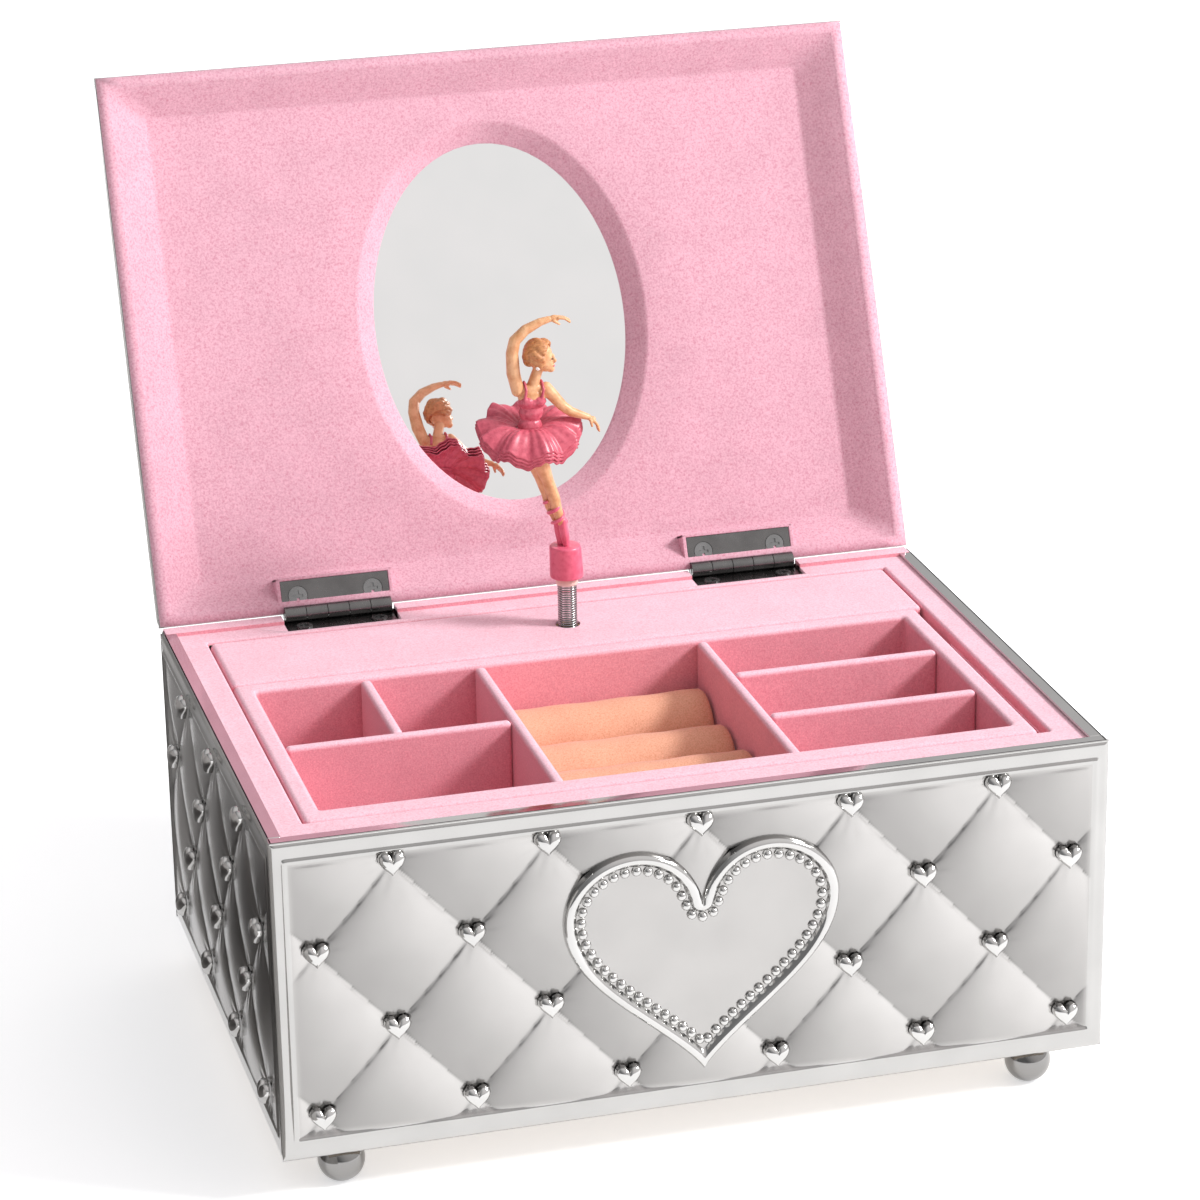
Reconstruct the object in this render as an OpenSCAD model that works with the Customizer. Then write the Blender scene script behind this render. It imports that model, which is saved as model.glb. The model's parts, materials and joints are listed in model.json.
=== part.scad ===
// Wind-up music box: a quilted silver jewellery box with a velvet tray, a mirror lid
// and a dancer that turns on a spring and folds down under the lid.
// Frame: +X to the right, +Y to the rear, +Z up, standing on z = 0, with the open box's middle at x = y = 0.

/* [Box body] */
// Outer width of the box
body_w = 197; // [192:1:206]
// Outer depth of the box
body_d = 139; // [137:1:142]
// Height of the metal sides, without the feet
body_h = 78; // [76:1:84]
// Radius of the ball feet
foot_r = 5.5; // [5:0.1:7]
// Thickness of the metal panels
skin_t = 0.8; // [0.6:0.1:1]
// Width of the turned-in metal lip round the top
lip_w = 3.6; // [3:0.1:4.5]
// Thickness of the wooden wall boards
wall_t = 9; // [8:0.5:9]

/* [Lid] */
// How far the lid opens, in degrees from closed
lid_open = 113.6; // [0:0.1:113.6]
// Overall thickness of the lid
lid_t = 12.8; // [12.6:0.1:15]
// Height of the flat edge band round the lid
lid_band = 4; // [3.5:0.1:4.5]
// Depth of the padded recess inside the lid
recess_d = 6; // [5.5:0.1:6.2]
// Depth of the mirror behind the lid's inner rim
mirror_d = 10; // [9.5:0.1:10]
// Half-width of the mirror window
mirror_rx = 33; // [30:0.5:35]
// Half-height of the mirror window
mirror_ry = 46.4; // [42:0.2:47]

/* [Tray] */
// Depth of the drop-in tray
tray_h = 34; // [30:1:34]
// Thickness of the tray's outer walls
tray_wall = 4.7; // [4:0.1:5]
// Thickness of the tray's dividers
divider_t = 2.8; // [2:0.1:3]
// Radius of the ring rolls
roll_r = 9.3; // [8.5:0.1:9.3]

/* [Movement] */
// Gear module, pitch diameter over teeth
gear_m = 0.5; // [0.5:0.1:0.5]
// Radius of the pinned cylinder
cylinder_r = 6.5; // [6:0.1:6.5]
// Number of notes on the comb
notes = 18; // [12:1:18]

/* [Dancer] */
// Radius of the coil spring under the dancer
spring_r = 2.45; // [2.2:0.05:2.5]
// Half-width of the tutu, side to side
tutu_rx = 13; // [10:0.5:13.5]
// Half-depth of the tutu, front to back
tutu_ry = 9.2; // [7:0.1:9.2]

/* [Hidden] */
$fn = 48;

gap = 0.05;
half_w = body_w / 2;

// Heights of the box, on ball feet with a small flat below and above
foot_flat = 0.1;
base_z = 2 * (foot_r - foot_flat);
base_t = 5;
base_top = base_z + base_t;
rim_z = base_z + body_h;
ledge_t = 0.75;
velvet_z = rim_z - skin_t;
wall_top = velvet_z - ledge_t - gap;

// Walls and the opening inside the velvet ledge
front_wall_t = wall_t + 1.8;
inner_front = skin_t + gap + front_wall_t;
inner_rear = body_d - skin_t - gap - wall_t - 0.5;
inner_x = half_w - skin_t - gap - wall_t;
opening_x = inner_x - 0.3;
lining_t = 0.6;

// Tray and deck
tray_y0 = inner_front + 0.45;
tray_y1 = 98;
tray_x0 = -opening_x + 0.4;
tray_x1 = opening_x - 2.4;
tray_z0 = velvet_z - tray_h;
tray_floor_t = 2;
divider_z1 = velvet_z - 0.4;
divider_left_x = -27.8;
divider_right_x = 28.6;
left_cross_y = 57;
left_small_x = -56.2;
right_cross_ys = [42, 69.7];
roll_tops = [12, 11.8, 12.6, 9.6];
deck_y0 = tray_y1 + 0.4;
deck_y1 = inner_rear - 0.4;
deck_t = 4;
deck_x = opening_x - 0.4;
riser_t = 2.5;
cover_z = 49.5;
cover_t = 2.5;
partition_y = 78;

// Feet
foot_x = 83.5;
foot_front_y = 9;
foot_rear_y = body_d - foot_front_y;

// Lid hinge, an axis along X just behind the rear edge
pivot_y = body_d + 0.2;
pivot_z = rim_z + 0.15;
lid_gap = 0.15;
lid_z = pivot_z + lid_gap;
hinge_x = 53.2;
hinge_w = 27.5;
leaf_l = 8.4;
leaf_t = 1;
leaf_drop = 1.75;
knuckle_r = 2;
pin_r = 0.85;
knuckles = 5;
pocket_w = hinge_w + 1.5;
hinge_screw_x = 9.6;

// Lid recess and mirror window, measured in the closed lid
slope_side = 13;
slope_end = 10.5;
bevel_side = 10;
bevel_end = 7.5;
recess_edge = 3;
mirror_y = 69.3;
oval_bevel = 5;
glass_t = 1.4;
glass_rim = 2.5;

// Movement: the spindle, the cylinder and the barrel share one plane across the box
move_y = 114;
bed_t = 2.5;
bed_z = base_top + gap;
bed_top = bed_z + bed_t;
arbor_r = 2;
running = 0.05;
drive_teeth = 24;
drive_r = drive_teeth * gear_m / 2;
barrel_teeth = 48;
barrel_pitch_r = barrel_teeth * gear_m / 2;
great_teeth = 36;
great_r = great_teeth * gear_m / 2;
pinion_teeth = 12;
pinion_r = pinion_teeth * gear_m / 2;
worm_teeth = 20;
worm_wheel_r = worm_teeth * gear_m / 2;
tooth_h = 0.45;
gear_t = 2;
spindle_x = 0;
drive_x = spindle_x - drive_r;
barrel_x = drive_x + barrel_pitch_r;
ratchet_z = bed_top + 0.5;
ratchet_t = 1.5;
ratchet_teeth = 24;
ratchet_r = 5;
barrel_z = ratchet_z + ratchet_t + 0.5;
barrel_h = 9;
barrel_r = barrel_pitch_r + 0.75;
crown_rim_z = barrel_z + barrel_h;
cylinder_z = crown_rim_z + tooth_h + drive_r;
cylinder_len = 22;
cylinder_x1 = drive_x - gear_t / 2 - 1;
cylinder_x0 = cylinder_x1 - cylinder_len;
great_x = cylinder_x0 - 2;
arbor_small_r = 1;
pinion_z = cylinder_z - great_r - pinion_r;
worm_wheel_x = great_x - 7.5;
worm_r = 1.6;
worm_y = move_y + worm_wheel_r + 1.5;
worm_lead = 2 * PI * gear_m;
worm_l = 6;
fly_z = pinion_z + 8;
bed_x0 = -50;
bed_x1 = 24;
bed_step_y = 98;
bed_back_y = 126;
comb_y = 84;
comb_screw_y = 87.5;
comb_z = cylinder_z - 0.5;
comb_tip_y = move_y - cylinder_r - 0.65;
note_pitch = 1.2;
crown_z = cylinder_z + drive_r;
bridge_x0 = drive_x + 0.7;
bridge_x1 = drive_x + 3.1;

// Dancer: the spring bends about a line across the box
spring_z0 = velvet_z - 6;
cap_z = velvet_z + 10.6;
collar_z = velvet_z + 12.6;
collar_h = 8.3;

// The open box's middle, front to back, from the heart plaque to the leaning lid's back
plaque_out = 2.4;
lid_rest = 113.6;
lid_back = pivot_y - cos(lid_rest) * (pivot_y - slope_end) + sin(lid_rest) * (lid_t + lid_gap);
frame_y = (lid_back - plaque_out) / 2;

silver = "silver";
velvet = "pink";
wood = "burlywood";
steel = "lightsteelblue";
brassy = "goldenrod";

// ---------- Helpers ----------

// Puts a piece modelled from the box's front edge into the shared frame
module placed() translate([0, -frame_y, 0]) children();

// Swings a piece modelled on the closed lid to its open place
module on_lid() {
    translate([0, pivot_y, pivot_z])
        rotate([-lid_open, 0, 0])
            translate([0, -pivot_y, -pivot_z])
                children();
}

// A box between two corners
module block(low, high) translate(low) cube(high - low);

joint_bulge = 1.04;

// A straight round limb with ball ends, tapering from r1 to r2
module limb(from, to, r1, r2) {
    d = to - from;
    len = norm(d);
    translate(from)
        rotate([0, acos(d[2] / len), atan2(d[1], d[0])])
            union() {
                cylinder(h = len, r1 = r1, r2 = r2);
                sphere(r = r1 * joint_bulge);
                translate([0, 0, len]) sphere(r = r2 * joint_bulge);
            }
}

// A flat spur gear about Z: trapezoid teeth between the root and tip circles
module spur_gear(teeth, thick, bore_r) {
    pitch_r = teeth * gear_m / 2;
    root_r = pitch_r - tooth_h - 0.12;
    tip_r = pitch_r + tooth_h - 0.05;
    step = 360 / teeth;
    difference() {
        linear_extrude(thick)
            polygon([
                for (i = [0 : teeth - 1], c = [[-0.25, root_r], [-0.1, tip_r], [0.1, tip_r], [0.25, root_r]])
                    c[1] * [cos((i + c[0]) * step), sin((i + c[0]) * step)]
            ]);
        translate([0, 0, -1]) cylinder(h = thick + 2, r = bore_r);
    }
}

// Straight teeth standing on the rim of a wheel with a vertical axis, halfway between the meshing teeth
module crown_teeth(teeth, pitch_r, width, thick) {
    for (i = [0 : teeth - 1])
        rotate((i + 0.5) * 360 / teeth)
            translate([pitch_r - width / 2, -thick / 2, 0])
                cube([width, thick, 2 * tooth_h - 0.1]);
}

// A cross-head screw standing on z = 0 with its shank downwards
module screw(head_r, head_h, shank_r, shank_l) {
    slot = head_r * 1.1;
    slot_w = 0.7;
    difference() {
        union() {
            translate([0, 0, -shank_l]) cylinder(h = shank_l + gap, r = shank_r);
            cylinder(h = head_h, r = head_r);
        }
        translate([-slot / 2, -slot_w / 2, head_h - 0.4]) cube([slot, slot_w, 1]);
        translate([-slot_w / 2, -slot / 2, head_h - 0.4]) cube([slot_w, slot, 1]);
    }
}

// The outline of a heart, w wide and h tall, with its tip at the origin
function heart_points(w, h, n = 72) = [
    for (i = [0 : n - 1])
        let (a = 360 * i / n)
            [
                w / 2 * pow(sin(a), 3),
                h * (17 + 13 * cos(a) - 5 * cos(2 * a) - 2 * cos(3 * a) - cos(4 * a)) / 28.9
            ]
];

function oval_points(rx, ry, n = 64) = [for (i = [0 : n - 1]) [rx * cos(360 * i / n), ry * sin(360 * i / n)]];

// ---------- Wooden carcass ----------

module base_board() color(wood) placed() {
    key_hole_r = 6;
    screw_hole_r = 1.35;
    difference() {
        block(
            [-half_w + skin_t + gap, skin_t + gap, base_z],
            [half_w - skin_t - gap, body_d - skin_t - gap, base_top]
        );
        translate([barrel_x, move_y, base_z - 1]) cylinder(h = base_t + 2, r = key_hole_r);
        for (p = movement_screw_points)
            translate([p[0], p[1], base_z - 1]) cylinder(h = base_t + 2, r = screw_hole_r);
        for (p = foot_points)
            translate([p[0], p[1], base_z - 1]) cylinder(h = base_t + 2, r = screw_hole_r);
    }
}

foot_points = [for (x = [-foot_x, foot_x], y = [foot_front_y, foot_rear_y]) [x, y]];
movement_screw_points = [[-44, 102], [0, 90], [20, 90]];
foot_screw_hole_depth = 9;

// Small blind holes in the walls' undersides take the ends of the foot screws
module foot_screw_holes() {
    for (p = foot_points)
        translate([p[0], p[1], base_top - 1]) cylinder(h = foot_screw_hole_depth, r = 1.35);
}

module front_wall() color(wood) placed() difference() {
    block(
        [-half_w + skin_t + gap, skin_t + gap, base_top + gap],
        [half_w - skin_t - gap, inner_front, wall_top]
    );
    foot_screw_holes();
}

module rear_wall() color(wood) placed() difference() {
    block(
        [-half_w + skin_t + gap, inner_rear, base_top + gap],
        [half_w - skin_t - gap, body_d - skin_t - gap, wall_top]
    );
    hinge_pockets();
    foot_screw_holes();
    for (s = [-1, 1], t = [-1, 1])
        translate([s * hinge_x + t * hinge_screw_x, box_screw_y, 60]) cylinder(h = 40, r = 0.85);
}

module side_wall() color(wood) placed()
    block([inner_x, inner_front + gap, base_top + gap], [half_w - skin_t - gap, inner_rear - gap, wall_top]);

module left_wall() mirror([1, 0, 0]) side_wall();
module right_wall() side_wall();

leaf_top = velvet_z - leaf_drop + leaf_t;
box_screw_y = pivot_y - 5.4;

// Room for the box leaves and knuckles in the rear edge
module hinge_pockets() {
    for (s = [-1, 1])
        translate([s * hinge_x, 0, 0])
            block(
                [-pocket_w / 2, pivot_y - leaf_l - 0.6, leaf_top - leaf_t - gap],
                [pocket_w / 2, body_d + 5, rim_z + 5]
            );
}

module velvet_ledge() color(velvet) placed() difference() {
    block(
        [-half_w + skin_t + gap, skin_t + gap, wall_top + gap],
        [half_w - skin_t - gap, body_d - skin_t - gap, velvet_z - gap]
    );
    block([-opening_x, inner_front + 0.05, 0], [opening_x, inner_rear - 0.05, 200]);
    hinge_pockets();
}

module interior_lining() color(velvet) placed() difference() {
    block(
        [-inner_x + gap, inner_front + gap, base_top + gap],
        [inner_x - gap, partition_y - gap, wall_top - 2]
    );
    block([-inner_x + lining_t, inner_front + lining_t - 0.2, 0], [inner_x - lining_t, partition_y + 1, 200]);
    rail_space(0.2);
}

module floor_pad() color(velvet) placed()
    block(
        [-inner_x + 0.7, inner_front + 0.5, base_top + gap],
        [inner_x - 0.7, partition_y - 0.2, base_top + 1.2]
    );

rail_w = 6;
rail_h = 6;

// The two strips that the tray rests on, grown by a clearance
module rail_space(extra) {
    for (s = [-1, 1])
        translate([s * (inner_x - rail_w / 2), 0, 0])
            block([-rail_w / 2 - extra, inner_front + 0.8 - extra, tray_z0 - rail_h - 0.1 - extra],
                [rail_w / 2 + extra, partition_y - 0.8 + extra, tray_z0 - 0.1 + extra]);
}

module tray_rails() color(velvet) placed() intersection() {
    rail_space(0);
    block([-inner_x + gap, 0, 0], [inner_x - gap, body_d, 200]);
}

module deck() color(velvet) placed() difference() {
    block([-deck_x, deck_y0, velvet_z - deck_t], [deck_x, deck_y1, velvet_z]);
    translate([spindle_x, move_y, 0]) cylinder(h = 200, r = bush_r + 0.02);
}

module deck_riser() color(velvet) placed()
    block([-deck_x, deck_y0, cover_z + cover_t + gap], [deck_x, deck_y0 + riser_t, velvet_z - deck_t - gap]);

module movement_cover() color(velvet) placed()
    block([-deck_x, partition_y, cover_z], [deck_x, deck_y0 + riser_t, cover_z + cover_t]);

module movement_partition() color(velvet) placed()
    block([-deck_x, partition_y, base_top + gap], [deck_x, partition_y + riser_t, cover_z - gap]);

// ---------- Metal panels ----------

stud_rows = [9.95, 30.1, 50.2, 70.2];
stud_pitch = 35.6;
stud_r = 2;

stud_out = 1.6;
plaque_middle = 43;
plaque_clear_r = 22;

// Small domed studs on a staggered grid, standing out of a panel that faces -Y,
// but none within clear_r of the plaque
module studs(width, clear_r) {
    for (row = [0 : 3], i = [-3 : 3]) {
        shift = (row % 2 == 1) ? 0 : 0.5;
        x = (i + shift) * stud_pitch;
        if (abs(x) < width / 2 - 4 && norm([x, stud_rows[row] - plaque_middle]) > clear_r)
            translate([x, 0.6, base_z + stud_rows[row]]) rotate([90, 0, 0])
                cylinder(h = stud_out + 0.6, r1 = stud_r, r2 = 1.2);
    }
}

// One embossed sheet facing -Y: face, polished frame, turned-in lip and turned-under flange
module panel(width, lip_cut) {
    frame_w = 3.1;
    bottom_w = 4.6;
    top_w = 5;
    difference() {
        block([-width / 2, 0, base_z], [width / 2, skin_t, rim_z]);
        block([-width / 2 + frame_w, -1, base_z + bottom_w], [width / 2 - frame_w, 0.25, rim_z - top_w]);
    }
    difference() {
        block([-width / 2, skin_t - 0.01, rim_z - skin_t], [width / 2, lip_w, rim_z]);
        for (s = [-1, 1])
            translate([s * width / 2, 0, 0]) block([-lip_cut, skin_t, 0], [lip_cut, 20, 200]);
    }
}

corner_cut = skin_t + gap;

module front_panel() color(silver) placed() {
    panel(body_w, corner_cut);
    studs(body_w, plaque_clear_r);
}

module rear_panel() color(silver) placed()
    translate([0, body_d, 0]) rotate(180)
        difference() {
            union() {
                panel(body_w, corner_cut);
                studs(body_w, 0);
            }
            for (s = [-1, 1])
                translate([s * hinge_x, 0, 0])
                    block([-pocket_w / 2, -5, leaf_top - leaf_t - gap], [pocket_w / 2, 20, 200]);
        }

side_len = body_d - 2 * skin_t - 2 * gap;

module right_panel() color(silver) placed()
    translate([half_w, body_d / 2, 0]) rotate(90) {
        panel(side_len, lip_w - skin_t);
        studs(side_len, 0);
    }

module left_panel() mirror([1, 0, 0]) right_panel();

plaque_w = 65.3;
plaque_h = 55.6;
plaque_tip = 9.6;

// Applied heart: a raised rim round a flat plate
module heart_plaque() color(silver) placed()
    translate([0, 0.2, base_z + plaque_tip]) rotate([90, 0, 0]) {
        linear_extrude(1.8) polygon(heart_points(plaque_w - 6, plaque_h - 6) + [for (i = [0 : 71]) [0, 3.2]]);
        linear_extrude(plaque_out + 0.2) difference() {
            polygon(heart_points(plaque_w, plaque_h));
            polygon(heart_points(plaque_w - 6, plaque_h - 6) + [for (i = [0 : 71]) [0, 3.2]]);
        }
    }

// ---------- Feet ----------

module ball_feet() color(silver) placed() {
    screw_pocket_r = 1.35;
    for (p = foot_points)
        translate([p[0], p[1], base_z / 2]) difference() {
            sphere(r = foot_r);
            translate([0, 0, -base_z / 2 - 1]) cylinder(h = 1, r = foot_r);
            translate([0, 0, base_z / 2 - 0.02]) cylinder(h = 1, r = foot_r);
            cylinder(h = 20, r = screw_pocket_r);
        }
}

module foot_screws() color(steel) placed()
    for (p = foot_points)
        translate([p[0], p[1], foot_r + 0.1]) cylinder(h = base_top + 4 - foot_r, r = 1.3);

// ---------- Hinges ----------

// Knuckles of one leaf: every second segment, starting at the given one
module knuckle_row(first) {
    seg = hinge_w / knuckles;
    for (i = [first : 2 : knuckles - 1])
        translate([-hinge_w / 2 + i * seg + 0.1, pivot_y, pivot_z]) rotate([0, 90, 0])
            cylinder(h = seg - 0.2, r = knuckle_r);
}

// Room for the other leaf's knuckles
module knuckle_gaps(first) {
    seg = hinge_w / knuckles;
    for (i = [first : 2 : knuckles - 1])
        translate([-hinge_w / 2 + i * seg - 0.05, pivot_y, pivot_z]) rotate([0, 90, 0])
            cylinder(h = seg + 0.1, r = knuckle_r + 0.3);
}

module pin_bore()
    translate([-hinge_w, pivot_y, pivot_z]) rotate([0, 90, 0])
        cylinder(h = 2 * hinge_w, r = pin_r + running);

module hinge_box_leaves() color(steel) placed()
    for (s = [-1, 1])
        translate([s * hinge_x, 0, 0]) difference() {
            union() {
                block([-hinge_w / 2, pivot_y - leaf_l, leaf_top - leaf_t], [hinge_w / 2, pivot_y, leaf_top]);
                knuckle_row(0);
            }
            knuckle_gaps(1);
            pin_bore();
            for (t = [-1, 1])
                translate([t * hinge_screw_x, box_screw_y, 0]) cylinder(h = 200, r = 1);
        }

module hinge_pins() color(steel) placed()
    for (s = [-1, 1])
        translate([s * hinge_x - hinge_w / 2, pivot_y, pivot_z]) rotate([0, 90, 0])
            cylinder(h = hinge_w, r = pin_r);

module hinge_box_screws() color(steel) placed()
    for (s = [-1, 1], t = [-1, 1])
        translate([s * hinge_x + t * hinge_screw_x, box_screw_y, leaf_top + 0.02]) screw(2, 0.5, 0.8, 8);

lid_screw_y = pivot_y - 4.5;

module hinge_lid_leaves() color(steel) placed() on_lid()
    for (s = [-1, 1])
        translate([s * hinge_x, 0, 0]) difference() {
            union() {
                block([-hinge_w / 2, pivot_y - leaf_l, lid_z + gap], [hinge_w / 2, pivot_y, lid_z + leaf_t]);
                knuckle_row(1);
            }
            knuckle_gaps(0);
            pin_bore();
            for (t = [-1, 1])
                translate([t * hinge_screw_x, lid_screw_y, 0]) cylinder(h = 200, r = 1.3);
            for (t = [-1, 1])
                translate([t * hinge_screw_x, lid_screw_y, lid_z - 0.1]) cylinder(h = 0.7, r = 2.55);
        }

module hinge_lid_screws() color(steel) placed() on_lid()
    for (s = [-1, 1], t = [-1, 1])
        translate([s * hinge_x + t * hinge_screw_x, lid_screw_y, lid_z + 0.55]) rotate([180, 0, 0])
            screw(2.4, 0.5, 1.2, 4);

// ---------- Lid ----------

// A slab with sloping sides, narrower at the top; inset is taken off every outer face
module lid_solid(inset) {
    hull() {
        block(
            [-half_w + inset, inset, lid_z],
            [half_w - inset, body_d - inset, lid_z + lid_band - inset * 0.4]
        );
        block([-half_w + slope_side + inset * 0.4, slope_end + inset * 0.4, lid_z + lid_t - inset - 0.1],
            [half_w - slope_side - inset * 0.4, body_d - slope_end - inset * 0.4, lid_z + lid_t - inset]);
    }
}

// The recess with sloping sides inside the lid, grown outwards and upwards
module lid_recess(grow) {
    side = recess_edge + bevel_side - grow;
    end = recess_edge + bevel_end - grow;
    top = lid_z + recess_d + grow;
    hull() {
        block([-half_w + recess_edge - grow, recess_edge - grow, lid_z - 1],
            [half_w - recess_edge + grow, body_d - recess_edge + grow, lid_z]);
        block([-half_w + side, end, top - 0.1], [half_w - side, body_d - end, top]);
    }
}

// Clearance behind the lid's edge for the box leaves' knuckles
module knuckle_clearance() {
    for (s = [-1, 1])
        translate([s * hinge_x - pocket_w / 2, pivot_y, pivot_z]) rotate([0, 90, 0])
            cylinder(h = pocket_w, r = knuckle_r + 0.4);
}

module lid_shell() color(silver) placed() on_lid() difference() {
    lid_solid(0);
    translate([0, 0, -0.01]) lid_solid(skin_t);
    knuckle_clearance();
    hinge_leaf_space();
}

// Room for the lid leaves in the lid's lower face
module hinge_leaf_space() {
    for (s = [-1, 1])
        translate([s * hinge_x, 0, 0])
            block(
                [-hinge_w / 2 - 0.3, pivot_y - leaf_l - 0.3, lid_z - 1],
                [hinge_w / 2 + 0.3, pivot_y + 1, lid_z + leaf_t + gap]
            );
}

lining_skin = 1;

module lid_board() color(wood) placed() on_lid() difference() {
    union() {
        difference() {
            lid_solid(skin_t + 0.02);
            lid_recess(lining_skin + gap);
            mirror_pocket();
        }
        intersection() {
            lid_solid(skin_t + 0.02);
            for (s = [-1, 1])
                translate([s * hinge_x, 0, 0])
                    block(
                        [-hinge_w / 2 - 1, pivot_y - leaf_l - 0.8, lid_z + 0.02],
                        [hinge_w / 2 + 1, body_d, lid_z + recess_d]
                    );
        }
    }
    hinge_leaf_space();
    knuckle_clearance();
    for (s = [-1, 1], t = [-1, 1])
        translate([s * hinge_x + t * hinge_screw_x, lid_screw_y, lid_z - 1]) cylinder(h = 6.2, r = 1.25);
}

// The pocket that holds the mirror, from the lining up to the board's back
module mirror_pocket() {
    translate([0, mirror_y, lid_z])
        linear_extrude(mirror_d + glass_t + gap)
            polygon(oval_points(mirror_rx + oval_bevel + 1.5, mirror_ry + oval_bevel + 1.5));
}

module lid_lining() color(velvet) placed() on_lid() difference() {
    union() {
        intersection() {
            lid_recess(lining_skin);
            block([-half_w + 1.2, 1.2, lid_z], [half_w - 1.2, body_d - 1.2, lid_z + 20]);
        }
        translate([0, mirror_y, lid_z + recess_d])
            linear_extrude(mirror_d - recess_d - gap)
                polygon(oval_points(mirror_rx + oval_bevel + 1.2, mirror_ry + oval_bevel + 1.2));
    }
    translate([0, 0, -0.01]) lid_recess(0);
    hull() {
        translate([0, mirror_y, lid_z + recess_d - 0.1])
            linear_extrude(0.1) polygon(oval_points(mirror_rx + oval_bevel, mirror_ry + oval_bevel, 48));
        translate([0, mirror_y, lid_z + mirror_d])
            linear_extrude(0.1) polygon(oval_points(mirror_rx, mirror_ry, 48));
    }
    for (s = [-1, 1])
        translate([s * hinge_x, 0, 0])
            block(
                [-hinge_w / 2 - 1.1, pivot_y - leaf_l - 0.9, lid_z - 1],
                [hinge_w / 2 + 1.1, body_d + 5, lid_z + recess_d + 0.1]
            );
    knuckle_clearance();
}

module mirror_glass() {
    translate([0, mirror_y, lid_z + mirror_d])
        linear_extrude(glass_t)
            polygon(oval_points(mirror_rx + glass_rim, mirror_ry + glass_rim));
}

module mirror_node() color("lightgrey") placed() on_lid() mirror_glass();

// ---------- Tray ----------

module tray_walls() color(velvet) placed() {
    seam = 0.03;
    front_t = tray_wall + 1.2;
    block([tray_x0, tray_y0, tray_z0], [tray_x1, tray_y0 + front_t, velvet_z]);
    block([tray_x0, tray_y1 - tray_wall, tray_z0], [tray_x1, tray_y1, velvet_z]);
    block(
        [tray_x0, tray_y0 + front_t + seam, tray_z0],
        [tray_x0 + tray_wall, tray_y1 - tray_wall - seam, velvet_z]
    );
    block(
        [tray_x1 - tray_wall, tray_y0 + front_t + seam, tray_z0],
        [tray_x1, tray_y1 - tray_wall - seam, velvet_z]
    );
}

tray_in_x0 = tray_x0 + tray_wall + 0.05;
tray_in_x1 = tray_x1 - tray_wall - 0.05;
tray_in_y0 = tray_y0 + tray_wall + 1.25;
tray_in_y1 = tray_y1 - tray_wall - 0.05;
tray_in_z = tray_z0 + tray_floor_t;

module tray_floor() color(velvet) placed()
    block([tray_in_x0, tray_in_y0, tray_z0], [tray_in_x1, tray_in_y1, tray_in_z]);

// Two long dividers front to back, and short ones across the side columns
module tray_dividers() color(velvet) placed() {
    z0 = tray_in_z + gap;
    half = divider_t / 2;
    for (x = [divider_left_x, divider_right_x])
        block([x - half, tray_in_y0, z0], [x + half, tray_in_y1, divider_z1]);
    block(
        [tray_in_x0, left_cross_y - half, z0],
        [divider_left_x - half - gap, left_cross_y + half, divider_z1]
    );
    block(
        [left_small_x - half, left_cross_y + half + gap, z0],
        [left_small_x + half, tray_in_y1, divider_z1]
    );
    for (y = right_cross_ys)
        block([divider_right_x + half + gap, y - half, z0], [tray_in_x1, y + half, divider_z1]);
}

// Padded rolls side by side, front to back, each to its own height
module ring_rolls() color("peachpuff") placed() {
    pitch = (tray_in_y1 - tray_in_y0) / len(roll_tops);
    x0 = divider_left_x + divider_t / 2 + 0.15;
    x1 = divider_right_x - divider_t / 2 - 0.15;
    for (i = [0 : len(roll_tops) - 1])
        translate([x0, tray_in_y0 + (i + 0.5) * pitch, velvet_z + 0.8 - roll_tops[i] - roll_r])
            rotate([0, 90, 0]) cylinder(h = x1 - x0, r = roll_r);
}

// ---------- Movement ----------

module movement_bedplate() color("darkgray") placed() {
    bridge_low = crown_rim_z + 1.9;
    bridge_high = cylinder_z + 3.2;
    leg_y = 11;
    leg_w = 3;
    post_x0 = great_x - 2.9;
    post_x1 = great_x - 1.5;
    post_half = 3;
    difference() {
        union() {
            block([great_x - 15, bed_step_y, bed_z], [barrel_x + barrel_r + 1, bed_back_y, bed_top]);
            block([bed_x0, comb_y, bed_z], [bed_x1, bed_step_y + 0.01, bed_top]);
            // left bearing post
            block([post_x0, move_y - 4, bed_top - 0.01], [post_x1, move_y - 1.6, cylinder_z + post_half]);
            block(
                [post_x0, move_y - 4, cylinder_z - post_half],
                [post_x1, move_y + post_half, cylinder_z + post_half]
            );
            // right bearing bridge over the barrel
            for (s = [-1, 1])
                translate([0, move_y + s * leg_y, 0])
                    block([bridge_x0, -leg_w / 2, bed_top - 0.01], [bridge_x1, leg_w / 2, bridge_high]);
            block([bridge_x0, move_y - leg_y, bridge_low], [bridge_x1, move_y + leg_y, bridge_high]);
            // comb bed
            block([cylinder_x0, comb_y, bed_top - 0.01], [cylinder_x1, comb_y + 7, comb_z - gap]);
        }
        translate([barrel_x, move_y, 0]) cylinder(h = 60, r = arbor_r + running);
        translate([great_x - 10, move_y, cylinder_z]) rotate([0, 90, 0])
            cylinder(h = 60, r = arbor_small_r + running);
        for (x = comb_screw_xs)
            translate([x, comb_screw_y, comb_z - 5.5]) cylinder(h = 10, r = 0.85);
        for (p = movement_screw_points)
            translate([p[0], p[1], 0]) cylinder(h = 60, r = 1.35);
    }
    translate([click_x, click_y, bed_top - 0.01]) cylinder(h = 2.3, r = click_pin_r);
}

comb_screw_xs = [(cylinder_x0 + cylinder_x1) / 2 - 6, (cylinder_x0 + cylinder_x1) / 2 + 6];

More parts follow.
